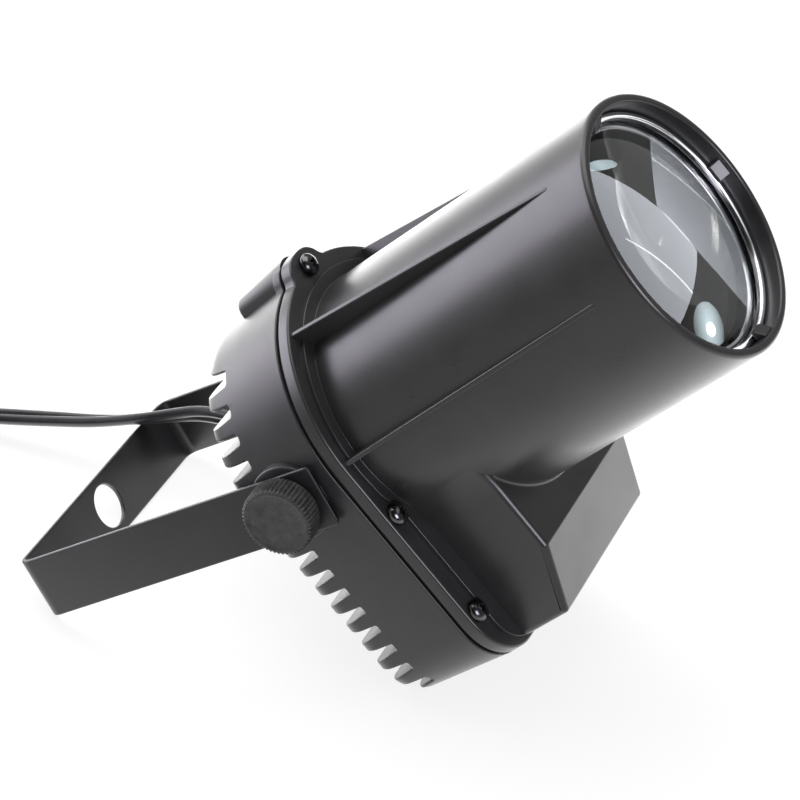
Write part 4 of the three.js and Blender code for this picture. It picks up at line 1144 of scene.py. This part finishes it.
@dataclass
class SupplyLead(Assembly):
    """The flat twin lead with its gland, coil, tie and plug. The route is in table millimetres."""

    housing: Housing
    width: float = 7.3
    thick: float = 3.6
    web: float = 1.7
    spacing: float = 1.5
    gland_length: float = 15.0
    start_roll: float = -80.0
    flat_by: float = 0.78
    coil_centre: tuple = (-13.0, 200.0)
    coil_radius: float = 47.0
    coil_pitch: float = 10.0
    coil_turns: int = 3
    coil_height: float = 2.9
    coil_layer: float = 4.2
    coil_climb: float = 0.11
    coil_steps: int = 24
    plug_start: float = 232.0
    plug_length: float = 34.0
    plug_axis: float = 6.2
    pin_spacing: float = 18.6
    pin_radius: float = 2.0
    pin_length: float = 18.0
    route: tuple = (
        (27.6, 54.2, 35.6), (28.8, 60, 33.2), (30.8, 67, 31.6), (33.2, 74.5, 30.4), (35.4, 82, 29),
        (36.4, 89, 27.2), (36.2, 94.5, 25.4), (35.6, 100, 23.6), (34.8, 107, 21.3), (34.6, 123.6, 16),
        (34.8, 142.1, 11.6), (34.3, 160.9, 7.8), (34.0, 174, 5.0), (34.0, 182, 3.4),
    )

    def gland_point(self, depth: float) -> np.ndarray:
        """Returns the point on the gland's line at a depth of the head's frame, in table millimetres."""
        return HEAD.carry(np.array([self.housing.gland_x, depth, self.housing.gland_z])) / MM

    def free_route(self) -> np.ndarray:
        """Returns the points of the free stretch, from the gland to where the coil begins."""
        tip = self.housing.rear - self.gland_length
        side, start = self.coil_centre[0] + self.coil_radius, self.coil_centre[1] - self.width
        ends = [(side, start - 4.3, self.coil_height), (side, start - 0.3, self.coil_height)]
        return np.vstack([self.gland_point(tip - 0.3), self.gland_point(tip - 4), self.route, ends])

    def coil_route(self) -> np.ndarray:
        """Returns the coil's points and its tail: the spiral runs in, climbs, and runs out again."""
        x, y = self.coil_centre
        side, middle = x + self.coil_radius, self.coil_turns / 2
        turn = np.linspace(0, self.coil_turns, self.coil_turns * self.coil_steps + 1)
        radius = self.coil_radius - self.coil_pitch * (middle - np.hypot(turn - middle, 0.02))
        climb = smooth((turn - middle + self.coil_climb) / (2 * self.coil_climb))
        angle = 2 * np.pi * turn
        turns = np.stack([x + radius * np.cos(angle), y + radius * np.sin(angle),
                          self.coil_height + self.coil_layer * climb], 1)
        start = np.array([[side, y - part, self.coil_height] for part in (self.width, self.width / 2)])
        share, high = np.array([0.35, 0.75, 1.0]), self.coil_height + self.coil_layer
        tail = np.stack([np.full(3, side), y + (self.plug_start - 0.3 - y) * share,
                         high + (self.plug_axis - high) * smooth(share * 1.2)], 1)
        return np.vstack([start, turns, tail])

    def section(self) -> np.ndarray:
        """Returns the twin section: two round lobes whose circles stop where the web joins them."""
        lobe = self.thick / 2
        notch = math.degrees(math.asin(self.web / 2 / lobe))
        out = self.width / 2 - lobe
        right = arc((out, 0), lobe, notch - 180, 180 - notch, 15)
        left = arc((-out, 0), lobe, notch, 360 - notch, 15)
        return np.array(right + left)

    def build_lead(self) -> bpy.types.Object:
        """The section starts turned about the route by the roll at the gland, and lies flat further on.

        Returns:
            The lead.
        """
        free = smooth_line(self.free_route(), self.spacing)
        wound = smooth_line(self.coil_route(), self.spacing)
        line = np.vstack([free, wound])
        along = np.gradient(line, axis=0)
        along /= np.linalg.norm(along, axis=1)[:, None]
        level = np.cross(along, [0, 0, 1])
        level /= np.linalg.norm(level, axis=1)[:, None]
        raised = np.cross(level, along)
        share = np.concatenate([np.linspace(0, 1, len(free)), np.ones(len(wound))])
        roll = np.radians(self.start_roll * (1 - smooth(share / self.flat_by)))[:, None]
        wide = level * np.cos(roll) + raised * np.sin(roll)
        thin = np.cross(wide, along)
        section = self.section()
        rings = line[:, None] + wide[:, None] * section[None, :, :1] + thin[:, None] * section[None, :, 1:]
        swept = BENCH.piece("supply_lead", skin(rings), TABLE)
        piece = self.settle(swept, "lamp_head", "cord_lead", "cord_coil")
        tie, plug, pins = self.build_tie(), self.build_plug(), self.build_pins()
        return piece

    def build_gland(self) -> bpy.types.Object:
        """Turns the gland: a stem, a rounded collar and a tapered sleeve with grip rings."""
        outer, tip = self.housing.rear - 0.3, self.housing.rear - self.gland_length
        profile = [(0, tip), *arc((3.6, tip + 0.6), 0.6, 270, 360, 4)]
        for number in range(4):
            place = tip + 2.2 + number * 2.6
            size = 4.25 + 1.35 * (place - tip) / (self.gland_length - 2.5)
            profile += [(size, place), (size - 0.55, place + 0.35), (size - 0.55, place + 1.0),
                        (size + 0.1, place + 1.35)]
        profile += [(5.6, outer - 2.2), (6.9, outer - 2.2), *arc((6.9, outer - 1.7), 0.5, 270, 360, 4),
                    *arc((6.9, outer - 0.5), 0.5, 0, 90, 4), (5.2, outer), (5.2, -21.1), (0, -21.1)]
        sleeve = rod_along(self.housing.gland_x, self.housing.gland_z, profile, 64)
        return self.settle(BENCH.piece("strain_relief", sleeve, HEAD), "lamp_head", "cord_gland")

    def build_tie(self) -> bpy.types.Object:
        """Loops a flat band round the coil: a rounded oblong path carried across its width."""
        x, y = self.coil_centre
        low = y + self.coil_radius - self.coil_pitch * 1.25 - self.width / 2 - 2.2
        high = y + self.coil_radius + self.width / 2
        top = self.coil_height + self.coil_layer + self.thick / 2 + 1.1
        outline = rounded_polygon(oblong(low, high, 0, top), 2.2, 8)
        half, soft, band = 2.5, 0.3, 0.8
        section = [(soft - half, 0), (half - soft, 0), (half, soft), (half, band - soft), (half - soft, band),
                   (soft - half, band), (-half, band - soft), (-half, soft)]
        shell = lofted([(x + place, drawn_in(outline, inset)) for place, inset in section], 0, Ends.LOOPED)
        return self.settle(BENCH.piece("cable_tie", shell, TABLE), "lamp_head", "coil_tie")

    def build_plug(self) -> bpy.types.Object:
        """Lofts the plug: squared ovals, ribbed at the neck, wider and pinched at the grip.

        Returns:
            The plug, with the holes that its pins sit in.
        """
        end, axis = self.plug_start + self.plug_length, self.coil_centre[0] + self.coil_radius
        angle = np.linspace(0, 2 * np.pi, 72, endpoint=False)
        circle = np.stack([np.cos(angle), np.sin(angle)], 1)
        oval = np.sign(circle) * np.abs(circle) ** 0.55
        neck = [(self.plug_start, 3.6, 2.6), (self.plug_start, 4.5, 3.3)]
        for number in range(4):
            place, extra = self.plug_start + 0.4 + number * 2.4, 0.2 * number
            neck += [(place + step, wide + extra, high + extra) for step, wide, high in (
                (0, 4.8, 3.6), (1.3, 4.8, 3.6), (1.5, 4.1, 3.0), (2.1, 4.1, 3.0))]
        share = np.linspace(0, 1, 12)
        start = self.plug_start + 10.2
        grow = [(start + 13.8 * t, 5.6 + 7.0 * float(smooth(np.array(t * 1.25))), 4.4 + 1.6 * t
                 - 0.5 * math.exp(-((t - 0.72) / 0.12) ** 2)) for t in share]
        tail = [(end - 6, 12.95, 6.05), (end - 1.2, 13.0, 6.1), (end - 0.5, 12.85, 5.95),
                (end - 0.1, 12.5, 5.6), (end, 12.1, 5.2)]
        shell = lofted([(place, oval * (wide, high) + (axis, self.plug_axis))
                        for place, wide, high in [*neck, *grow, *tail]], 1)
        holes = [rod_along(axis + side * self.pin_spacing / 2, self.plug_axis,
                           straight(self.pin_radius + 0.3, end - 8, end + 1), 32) for side in (-1, 1)]
        body = BENCH.fused("mains_plug", [shell], holes, TABLE)
        return self.settle(body, "lamp_head", "plug_body")

    def build_pins(self) -> list:
        """Turns the two pins, each with a rounded tip and a small groove."""
        end, axis = self.plug_start + self.plug_length, self.coil_centre[0] + self.coil_radius
        r, tip = self.pin_radius, end + self.pin_length
        profile = [(0, end - 7.5), (r, end - 7.5), (r, end + 9.6), (r - 0.15, end + 9.8),
                   (r - 0.15, end + 10.2), (r, end + 10.4), (r, tip - 1.2),
                   *arc((r - 1.2, tip - 1.2), 1.2, 0, 90, 6), (0, tip)]
        pins = []
        for side, node in ((-1, "plug_pin_near"), (1, "plug_pin_far")):
            shell = rod_along(axis + side * self.pin_spacing / 2, self.plug_axis, profile, 32)
            pins.append(self.settle(BENCH.piece(f"{node}_turned", shell, TABLE), "lamp_head", node))
        return pins

    def build(self) -> None:
        """Builds the lead and what is on it."""
        self.build_lead()
        self.build_gland()


@dataclass
class FrontShell(Assembly):
    """The front moulding: flange, foot, barrel, driver compartment, gussets, ear and lens tabs."""

    housing: Housing
    flange_front: float = 4.1
    foot_front: float = 5.3
    fillet: float = 0.2
    tube_radius: float = 42.5
    tube_wall: float = 2.9
    rim: float = 116.7
    lip: float = 1.55
    seat: float = 103.4
    seat_width: float = 2.6
    tab_width: float = 5.6
    tab_front: float = 115.2
    tab_back: float = 111.7
    tab_height: float = 3.0
    box_half: float = 35.6
    box_front: float = 32.1
    box_knee: float = -51.3
    box_toe: float = 22.4
    box_bottom: float = -72.4
    box_edge: float = 2.0
    web_radius: float = 30.0
    wall: float = 2.2
    rib_angles: tuple = (5, 56, 124, 175)
    rib_end: float = 102.0
    rib_thickness: float = 1.5
    pocket: float = 4.3
    post_x: float = 25.0
    post_y: float = 9.0

    def flange(self) -> Shell:
        """Lofts the flange plate: a rounded rear edge, a flat band and a rounded front edge."""
        turn = arc((self.flange_front - 0.8, 0), 0.8, 90, 0, 5)
        front = [(y, 0.92 - z) for y, z in turn]
        return self.housing.loft([(0, 0.3), (0.1, 0.1), (0.35, 0), (2.6, 0.1), *front,
                                  (self.flange_front, 1.5)])

    def foot(self) -> Shell:
        """Lofts the low raised foot round the barrel and the compartment, with a rounded edge."""
        r = self.tube_radius + 4.0
        right = [*arc((0, 0), r, 90, -6, 40), (45.8, -9.5), (44.0, -14), (42.6, -20), (42.6, -60)]
        corner = arc((42.6 - 11.5, -61), 11.5, 0, -88, 10)
        half = np.array(right + corner)
        outline = np.vstack([half, (half * [-1, 1])[::-1][:-1]])
        return plate_along(outline, [(self.flange_front - 1, 0), *quarter(self.foot_front, 0.25, 4)])

    def barrel(self) -> Shell:
        """Turns the barrel: a concave fillet at the foot, a straight wall and a rounded lip."""
        r, lip = self.tube_radius, self.lip
        base = arc((r + self.fillet, self.foot_front + self.fillet), self.fillet, 270, 180, 8)
        wall = [(r, y) for y in np.linspace(self.foot_front + self.fillet + 2, self.rim - lip - 1.5, 18)]
        return turned([(0, 0.4), (r + self.fillet, 0.4), *base, *wall,
                       *arc((r - lip, self.rim - lip), lip, 0, 90, 7), (0, self.rim)], 192)

    def bore(self) -> Shell:
        """Turns the hollow of the barrel, with the lens seat and the lip's rounded inner edge."""
        r, soft = self.tube_radius - self.tube_wall, 0.8
        inner, seat = r - self.seat_width, self.seat
        return turned([(0, -2), (r, -2), (r, seat - 3), (inner, seat - 3), (inner, seat), (r, seat),
                       (r, seat + 3), (r, self.rim - soft - 2),
                       *[(r + soft - u, v) for u, v in arc((0, self.rim - soft), soft, 0, 90, 6)],
                       (r + soft, self.rim + 2), (0, self.rim + 2)], 192)

    def compartment(self) -> list:
        """Builds the driver compartment, its small fillet under the barrel and the soft webs."""
        corners = [(0.5, self.box_bottom), (self.box_toe, self.box_bottom), (self.box_front, self.box_knee),
                   (self.box_front, -12), (0.5, -12)]
        half, edge = self.box_half, self.box_edge
        body = plate_across(rounded_polygon(corners, 1.6, 6), round_stations(-half, half, edge, edge, 5))
        r, y, bead = self.tube_radius, self.box_front, 1.0
        collar = turned([(r - 2, y - 1), (r + bead, y - 1), *arc((r + bead, y + bead), bead, 270, 180, 8),
                         (r - 2, y + bead)], 192)
        seat = BENCH.kept_inside(collar, brick((1.2 - half, y - 2, -60), (half - 1.2, y + 3, -24.5)))
        return [body, seat, self.web(), self.web().flipped()]

    def web(self) -> Shell:
        """Lofts the soft web between the barrel and the compartment's near side.

        Its outside is an arc that touches both: the arc's centre lies the web's radius away from each.
        The front edge is rounded by making the arc larger about the same centre.
        """
        big, r = self.web_radius, self.tube_radius
        cx = self.box_half + big
        cz = -math.sqrt((r + big) ** 2 - cx**2)
        to_tube = math.degrees(math.atan2(-cz, -cx))
        buried = [(self.box_half - 5, cz - 0.5), (self.box_half - 5, cz + 14)]
        stations = [(2.0, 0), *quarter(self.box_front, self.box_edge, 5)]
        return lofted([(y, np.array(arc((cx, cz), big + inset + 0.02, to_tube + 1.5, 179, 16) + buried))
                       for y, inset in stations], 1)

    def room(self) -> Shell:
        """Shapes the hollow inside the compartment."""
        w = self.wall
        low, front = self.box_bottom + w, self.box_front - w
        corners = [(-1, low), (self.box_toe - w * 0.8, low), (front, self.box_knee + w * 0.3),
                   (front, -20), (-1, -20)]
        return plate_across(np.array(corners), [(w - self.box_half, 0), (self.box_half - w, 0)])

    def rib(self, angle: float) -> Shell:
        """Shapes one gusset: tall at the flange and running out along the barrel.

        Args:
            angle: Its place round the beam, from +X towards +Z, in degrees.

        Returns:
            The gusset with rounded edges.
        """
        level = abs(math.cos(math.radians(angle))) > 0.9
        foot = self.housing.half + (-1.4 if level else 0.3)
        r, end, half = self.tube_radius, self.rib_end, self.rib_thickness / 2
        outline = rounded_polygon([(2, r - 1.2), (2, foot), (self.flange_front + 0.2, foot), (end, r + 0.1),
                                   (end + 1, r - 1.2)], 0.5, 4)
        return plate_across(outline, round_stations(-half, half, 0.35, 0.35, 3)).spun(angle - 90)

    def tab(self, angle: float) -> Shell:
        """Shapes one of the four small tabs that hold the lens ring.

        Args:
            angle: Its place round the beam, from +X towards +Z, in degrees.

        Returns:
            The tab, a wedge with rounded edges.
        """
        wall = self.tube_radius - self.tube_wall + 1
        inner = wall - 1 - self.tab_height
        wide = self.tab_width / 2
        outline = rounded_polygon([(self.tab_back, inner), (self.tab_back, wall), (self.tab_front, wall),
                                   (self.tab_front, wall - 1.4), (self.tab_back + 0.9, inner)], 0.3, 3)
        return plate_across(outline, round_stations(-wide, wide, 0.3, 0.3, 3)).spun(angle - 90)

    def build(self) -> None:
        """Fuses the moulding and puts it in the place of the CAD shell."""
        house, top = self.housing, self.flange_front
        ear = plate_along(house.ear_outline(), round_stations(0, top, 0.3, 0.55, 4))
        added = [self.flange(), self.foot(), self.barrel(), *self.compartment(),
                 *[self.rib(angle) for angle in self.rib_angles], ear]
        pockets = [rod_along(x, z, straight(self.pocket, top + 0.02, top + 6), 48)
                   for x, z in house.screw_spots()]
        profiles = (straight(3.2, self.box_bottom + 1, -62.3), straight(1.2, -67, -60))
        posts, post_holes = ([rod_up(side * self.post_x, self.post_y, profile) for side in (-1, 1)]
                             for profile in profiles)
        tabs = [self.tab(angle) for angle in (0, 90, 180, 270)]
        piece = BENCH.fused("front_moulding", added,
                            [self.bore(), self.room(), *pockets, *house.screw_holes(1.7, -1, top + 2)],
                            HEAD, [*tabs, *posts], post_holes)
        self.settle(piece, "lamp_head", "front_shell")


@dataclass
class RearCover(Assembly):
    """The rear casting: a drafted tub whose rear is cut into cooling fins, with its bosses."""

    housing: Housing
    front: float = -1.3
    draft: float = 0.0857
    corner: float = 8.0
    wall: float = 3.0
    floor: float = -22.6
    groove_floor: float = -25.9
    pitch: float = 7.44
    floor_width: float = 2.44
    mouth_width: float = 4.84
    lower_start: float = 0.9
    lower_count: int = 10
    upper_start: float = 11.4
    upper_count: int = 5
    fin_edge: float = 0.55
    tip_edge: float = 0.75
    boss: float = 12.6
    insert_boss: float = 7.6
    insert_hole: float = 4.5
    boss_face: float = 50.2
    gland_boss: float = 9.0
    gland_hole: float = 5.5

    def inset_at(self, y: float) -> float:
        """Returns how far the side is drawn in at a depth: an even draft, then a quarter round."""
        drafted = self.draft * (self.front - y)
        past = max(self.housing.rear + self.corner - y, 0)
        return drafted + self.corner - math.sqrt(max(self.corner**2 - past**2, 0))

    def groove_half(self, y: float) -> float:
        """Returns half the width of a cooling groove at a depth."""
        share = (self.groove_floor - y) / (self.groove_floor - self.housing.rear + 0.5)
        return (self.floor_width + (self.mouth_width - self.floor_width) * share) / 2

    def fin(self, low_groove: float, high_groove: float) -> Shell:
        """Lofts one fin between two grooves, or past the last one where a groove is not a number.

        Args:
            low_groove: Height of the groove below it.
            high_groove: Height of the groove above it.

        Returns:
            The fin with a flared root, rounded corners and a rounded tip.
        """
        house, rear = self.housing, self.housing.rear
        root, edge, tip = self.groove_floor, self.fin_edge, self.tip_edge
        depths = [root + 1.2, root + 0.01, root - 0.15, root - 0.4, root - 0.8]
        depths += list(np.linspace(root - 1.5, rear + self.corner, 4))
        turn = np.linspace(0, 1, 10)[1:] ** 0.8
        depths += list(rear + self.corner - turn * (self.corner - tip))
        stations = [(y, 0.8 * max(1 - (root - y) / 0.8, 0) ** 2 if y < root else 0.8, 0.0) for y in depths]
        stations += [(y, 0.0, shrink) for y, shrink in quarter(rear, tip, 5, -1)[1:]]
        sections = []
        for y, flare, shrink in stations:
            inset = self.inset_at(y) + shrink * 0.6
            half = self.groove_half(min(y, root)) - flare + shrink
            low = house.bottom + inset if math.isnan(low_groove) else low_groove + half
            high = house.half + house.top_centre - inset if math.isnan(high_groove) else high_groove - half
            if high - low < 0.3:
                break
            sections.append((y, house.strip(low, high, inset, min(edge, 0.45 * (high - low)))))
        return lofted(sections, 1)

    def tub(self) -> Shell:
        """Lofts the tub with its rounded front lip."""
        depths = np.linspace(self.front - 1.5, self.groove_floor, 8)
        lip = quarter(self.front, 0.45, 4)[::-1]
        return self.housing.loft([*lip, *[(y, self.inset_at(y)) for y in depths]])

    def inside(self) -> Shell:
        """Lofts the hollow of the tub."""
        floor, wall = self.floor, self.wall
        return self.housing.loft([(floor, wall + 3.2), (floor + 0.6, wall + 2.6), (floor + 2, wall + 2.2),
                                  (self.front + 1, wall)])

    def hub(self) -> Shell:
        """Turns the near pivot boss, with a rounded face."""
        wide, face, soft = self.boss, self.boss_face, 0.7
        profile = [(0, 44), (wide, 44), (wide, face - soft), *arc((wide - soft, face - soft), soft, 0, 90, 5),
                   (0, face)]
        return rod_across(PIVOT[1], PIVOT[2], profile, 96)

    def build(self) -> None:
        """Fuses the casting and puts it in the place of the CAD cover."""
        house, rear, front, floor = self.housing, self.housing.rear, self.front, self.floor
        grooves = sorted([self.lower_start - self.pitch * i for i in range(self.lower_count)]
                         + [self.upper_start + self.pitch * i for i in range(self.upper_count)])
        edges = [math.nan, *grooves, math.nan]
        fins = [self.fin(low, high) for low, high in zip(edges, edges[1:])]
        insert = rod_across(PIVOT[1] + 3, PIVOT[2], straight(self.insert_boss, 37, 47))
        profile = [(0, -24.0), *arc((3.2, -22.5), 1.5, 270, 360, 6), (5.0, -20), (7.2, front), (0, front)]
        barrel = rod_along(0, 50.2, profile, 64)
        stations = round_stations(front - 3.2, front, 0.5, 0.35, 4)
        ear = plate_along(drawn_in(house.ear_outline(), 0.4), stations)
        wide, soft = self.gland_boss, 0.6
        profile = [(0, rear + 0.2), (wide - soft, rear + 0.2),
                   *arc((wide - soft, rear + 0.8), soft, 270, 360, 4), (wide, floor), (0, floor)]
        gland = rod_along(house.gland_x, house.gland_z, profile, 64)
        limit = house.loft([(rear - 1, 4.4), (front, 0.4)])
        posts = [BENCH.kept_inside(rod_along(x * 0.985, z, straight(4.2, floor - 1, front - 0.1), 32), limit)
                 for x, z in house.screw_spots()]
        near = rod_across(PIVOT[1], PIVOT[2], straight(self.insert_hole, 35, 52))
        profile = straight(self.gland_hole, rear - 1, floor + 1)
        gland_hole = rod_along(house.gland_x, house.gland_z, profile, 48)
        piece = BENCH.fused("finned_cover", [self.tub()], [self.inside()], HEAD,
                            [*fins, self.hub(), self.hub().flipped(), insert, insert.flipped(), barrel, ear,
                             gland, *posts],
                            [*house.screw_holes(1.65, -11.9, 1), near, near.flipped(), gland_hole])
        self.settle(piece, "lamp_head", "rear_cover")


@dataclass
class SeamScrews(Assembly):
    """The five pan head screws in the seam, each with a cross recess and its shank."""

    housing: Housing
    seat: float = 4.4
    head: float = 3.6
    height: float = 2.8
    shank: float = 1.3
    length: float = 14.0
    recess: float = 1.75
    names: tuple = ("top", "upper_near", "lower_near", "upper_far", "lower_far")
    turns: tuple = (38, 12, 63, 80, 25)

    def slot(self, turn: float) -> Shell:
        """Shapes one arm of the cross recess: a long wedge that narrows with depth."""
        sizes = ((self.height - 1.5, 0.7, 0.22), (self.height - 0.35, 1.25, 0.4),
                 (self.height + 0.5, self.recess, 0.62))
        return lofted([(depth, rounded_polygon(oblong(-long, long, -wide, wide), 0.15, 3))
                       for depth, long, wide in sizes], 1).spun(turn)

    def build(self) -> None:
        """Builds every screw and puts it in the place of its CAD node."""
        house, rise = self.housing, 0.75
        dome = [(self.head * u, rise + (self.height - rise) * v) for u, v in arc((0, 0), 1, 0, 90, 11)]
        profile = [(0, -self.length), (self.shank - 0.4, -self.length), (self.shank, -self.length + 1),
                   (self.shank, 0), (self.head - 0.25, 0), (self.head, 0.25), *dome]
        spots = [(0, house.top_screw), *house.screw_spots()]
        for name, (x, z), turn in zip(self.names, spots, self.turns):
            node = f"seam_screw_{name}"
            shells = (turned(profile, 48), self.slot(turn), self.slot(turn + 90))
            parts = [shell.shifted(x, self.seat, z) for shell in shells]
            piece = BENCH.fused(f"{node}_pan_head", parts[:1], parts[1:], HEAD)
            self.settle(piece, "lamp_head", node)


@dataclass
class LensGroup(Assembly):
    """The lens and the bright ring that holds it."""

    radius: float = 39.2
    back: float = 103.9
    edge: float = 108.6
    crown: float = 7.0
    clear: float = 36.9
    ring_inner: float = 37.1
    ring_outer: float = 39.3
    ring_front: float = 111.3
    ring_gap: tuple = (32.0, 38.0)

    def lens(self) -> Shell:
        """Turns the lens: a flat back, a narrow flat edge and a dome that is part of a sphere."""
        sphere = (self.clear**2 + self.crown**2) / (2 * self.crown)
        r = self.clear * np.sin(np.linspace(np.pi / 2, 0, 48))
        dome = list(zip(r, self.edge + self.crown - sphere + np.sqrt(sphere**2 - r**2)))
        soft = 0.3
        return turned([(0, self.back), (self.radius - soft, self.back), (self.radius, self.back + soft),
                       (self.radius, self.edge - soft), (self.radius - soft, self.edge), *dome], 192)

    def ring(self) -> Shell:
        """Carries a rounded section along an arc that leaves a small gap."""
        corners = oblong(self.ring_inner, self.ring_outer, self.edge + 0.3, self.ring_front)
        section = rounded_polygon(corners, 0.85, 6)
        angle = np.radians(np.linspace(self.ring_gap[1], 360 + self.ring_gap[0], 200))
        rings = np.stack([section[None, :, 0] * np.cos(angle)[:, None],
                          np.repeat(section[None, :, 1], len(angle), 0),
                          section[None, :, 0] * np.sin(angle)[:, None]], -1)
        return skin(rings)

    def build(self) -> tuple:
        """Builds the lens and the ring, and returns them."""
        ring = self.settle(BENCH.piece("retaining_ring", self.ring(), HEAD), "lamp_head", "lens_ring")
        return self.settle(BENCH.piece("front_lens", self.lens(), HEAD), "lamp_head", "lens"), ring


@dataclass
class Yoke(Assembly):
    """The bent strap, drawn about its pivot with its arms running towards -Y."""

    outer: float = 52.1
    thickness: float = 1.6
    reach: float = 101.0
    width: float = 20.3
    nose: float = 13.2
    nose_corner: float = 1.6
    bend: float = 4.6
    hole: float = 7.2
    pivot_hole: float = 2.7
    edge: float = 0.55

    def middle_line(self) -> np.ndarray:
        """Returns the strap's middle line in X and Y: two arms, two quarter bends and the bridge."""
        half, r = self.outer - self.thickness / 2, self.bend - self.thickness / 2
        far = self.thickness / 2 - self.reach
        near_nose = [self.nose - d for d in (0, 0.04, 0.1, 0.2, 0.32, 0.46, 0.65, 0.9, 1.2, 1.6, 3.0)]
        arm = [(half, y) for y in [*near_nose, *np.linspace(self.nose - 6, far + r + 0.5, 18)]]
        bend = arc((half - r, far + r), r, 0, -90, 10)
        bridge = [(x, far) for x in np.linspace(half - r - 0.5, 0, 12)]
        one = np.array(arm + bend + bridge)
        return np.vstack([one, (one * [-1, 1])[::-1][1:]])

    def strap(self) -> Shell:
        """Sweeps a rounded oblong along the middle line; both ends narrow along a quarter circle."""
        line = self.middle_line()
        along = np.gradient(line, axis=0)
        along /= np.linalg.norm(along, axis=1)[:, None]
        out = np.stack([-along[:, 1], along[:, 0]], 1)
        step = np.concatenate([[0], np.cumsum(np.linalg.norm(np.diff(line, axis=0), axis=1))])
        from_end = np.minimum(step, step[-1] - step)
        short = self.nose_corner - np.minimum(from_end, self.nose_corner)
        half_wide = self.width / 2 - self.nose_corner + np.sqrt(self.nose_corner**2 - short**2)
        thin = self.edge - np.minimum(from_end, self.edge)
        half_thick = self.thickness / 2 - self.edge + np.sqrt(self.edge**2 - thin**2)
        square = oblong(-2, 2, -2, 2)
        unit = rounded_polygon(oblong(-1, 1, -1, 1), 0, 5)
        soft = rounded_polygon(square, 1, 5) - rounded_polygon(square, 0, 5)
        a = unit[None, :, 0] * half_thick[:, None] + soft[None, :, 0] * self.edge
        b = unit[None, :, 1] * half_wide[:, None] + soft[None, :, 1] * self.edge
        rings = np.stack([line[:, :1] + out[:, :1] * a, line[:, 1:] + out[:, 1:] * a, b], -1)
        return skin(rings)

    def build(self) -> None:
        """Builds the strap with its holes."""
        out, rim, face, chamfer = self.outer + 1, self.hole, -self.reach, 0.35
        pivots = rod_across(0, 0, straight(self.pivot_hole, -out, out), 40)
        back, wide = face + self.thickness, rim + chamfer + 1
        profile = [(0, face - 1), (wide, face - 1), (rim, face + chamfer), (rim, back - chamfer),
                   (wide, back + 1), (0, back + 1)]
        piece = BENCH.fused("yoke_strap", [self.strap()], [pivots, rod_along(0, 0, profile, 96)], YOKE)
        self.settle(piece, "yoke", "yoke")


@dataclass
class ClampKnobs(Assembly):
    """The two fluted clamp knobs. A knob's frame is the yoke's, with X outwards from the lamp."""

    radius: float = 11.25
    back: float = 52.5
    face: float = 61.2
    flutes: int = 52
    depth: float = 0.75
    samples: int = 10
    rim: float = 1.1
    recess: float = 0.25
    stud_hole: float = 2.7
    stud_depth: float = 3.0

    def body(self) -> Shell:
        """Turns the knob: each flute takes up to its depth out of the radius as a raised cosine."""
        angle = np.linspace(0, 2 * np.pi, self.flutes * self.samples, endpoint=False)
        circle = np.stack([np.cos(angle), np.sin(angle)], 1)
        flute = (0.5 - 0.5 * np.cos(self.flutes * angle)) ** 0.8
        r, x0, x1, rim, deep = self.radius, self.back, self.face, self.rim, self.face - self.recess
        stations = [(x0, 0.01, 0), (x0, r - 1.9, 0), (x0 + 0.15, r - 1.4, 0), (x0 + 0.5, r - 0.75, 0.1),
                    (x0 + 0.9, r - 0.3, 0.5), (x0 + 1.3, r - 0.05, 1), (x0 + 2.2, r, 1), (x0 + 4.5, r, 1),
                    (x1 - 1.9, r - 0.02, 1), (x1 - 1.2, r - 0.08, 1), (x1 - 0.7, r - 0.2, 0.95),
                    (x1 - 0.35, r - 0.42, 0.8), (x1 - 0.12, r - 0.75, 0.4), (x1, r - 1.35, 0),
                    (x1, r - 1.35 - rim * 0.4, 0), (x1 - 0.1, r - 1.35 - rim * 0.65, 0),
                    (x1 - self.recess * 0.8, r - 1.35 - rim * 0.85, 0), (deep, r - 1.35 - rim, 0),
                    (deep, 5.0, 0), (deep, 0.01, 0)]
        return lofted([(x, circle * (size - self.depth * share * flute)[:, None])
                       for x, size, share in stations], 0)

    def build(self) -> None:
        """Builds both knobs."""
        hole = rod_across(0, 0, straight(self.stud_hole, 40, self.face - self.stud_depth), 32)
        for side, node in ((1, "knob_near"), (-1, "knob_far")):
            shells = [self.body(), hole] if side > 0 else [self.body().flipped(), hole.flipped()]
            piece = BENCH.fused(f"{node}_fluted", shells[:1], shells[1:], YOKE)
            self.settle(piece, node, node)


class Insides:
    """The nodes that stay as the CAD has them, in their own finishes."""

    def __init__(self, finishes: Finishes) -> None:
        """Keeps the finishes."""
        self.finishes = finishes

    def dress(self) -> None:
        """Dresses every CAD node that no piece stands for."""
        for name, node in frame["nodes"].items():
            if not node.hide_render:
                self.finishes.put_on_node(name)
                LOG.info("%s keeps its CAD shape", name)


def main() -> None:
    """Builds the studio and then each sub-assembly in order."""
    logging.basicConfig(level=logging.INFO, format="%(message)s")
    studio = Studio()
    studio.build()
    finishes = Finishes()
    housing = Housing()
    SupplyLead(finishes, housing).build()
    FrontShell(finishes, housing).build()
    RearCover(finishes, housing).build()
    SeamScrews(finishes, housing).build()
    studio.panels(*LensGroup(finishes).build())
    Yoke(finishes).build()
    ClampKnobs(finishes).build()
    Insides(finishes).dress()


if __name__ == "__main__":
    main()
    bpy.context.scene.view_settings.view_transform = "Standard"
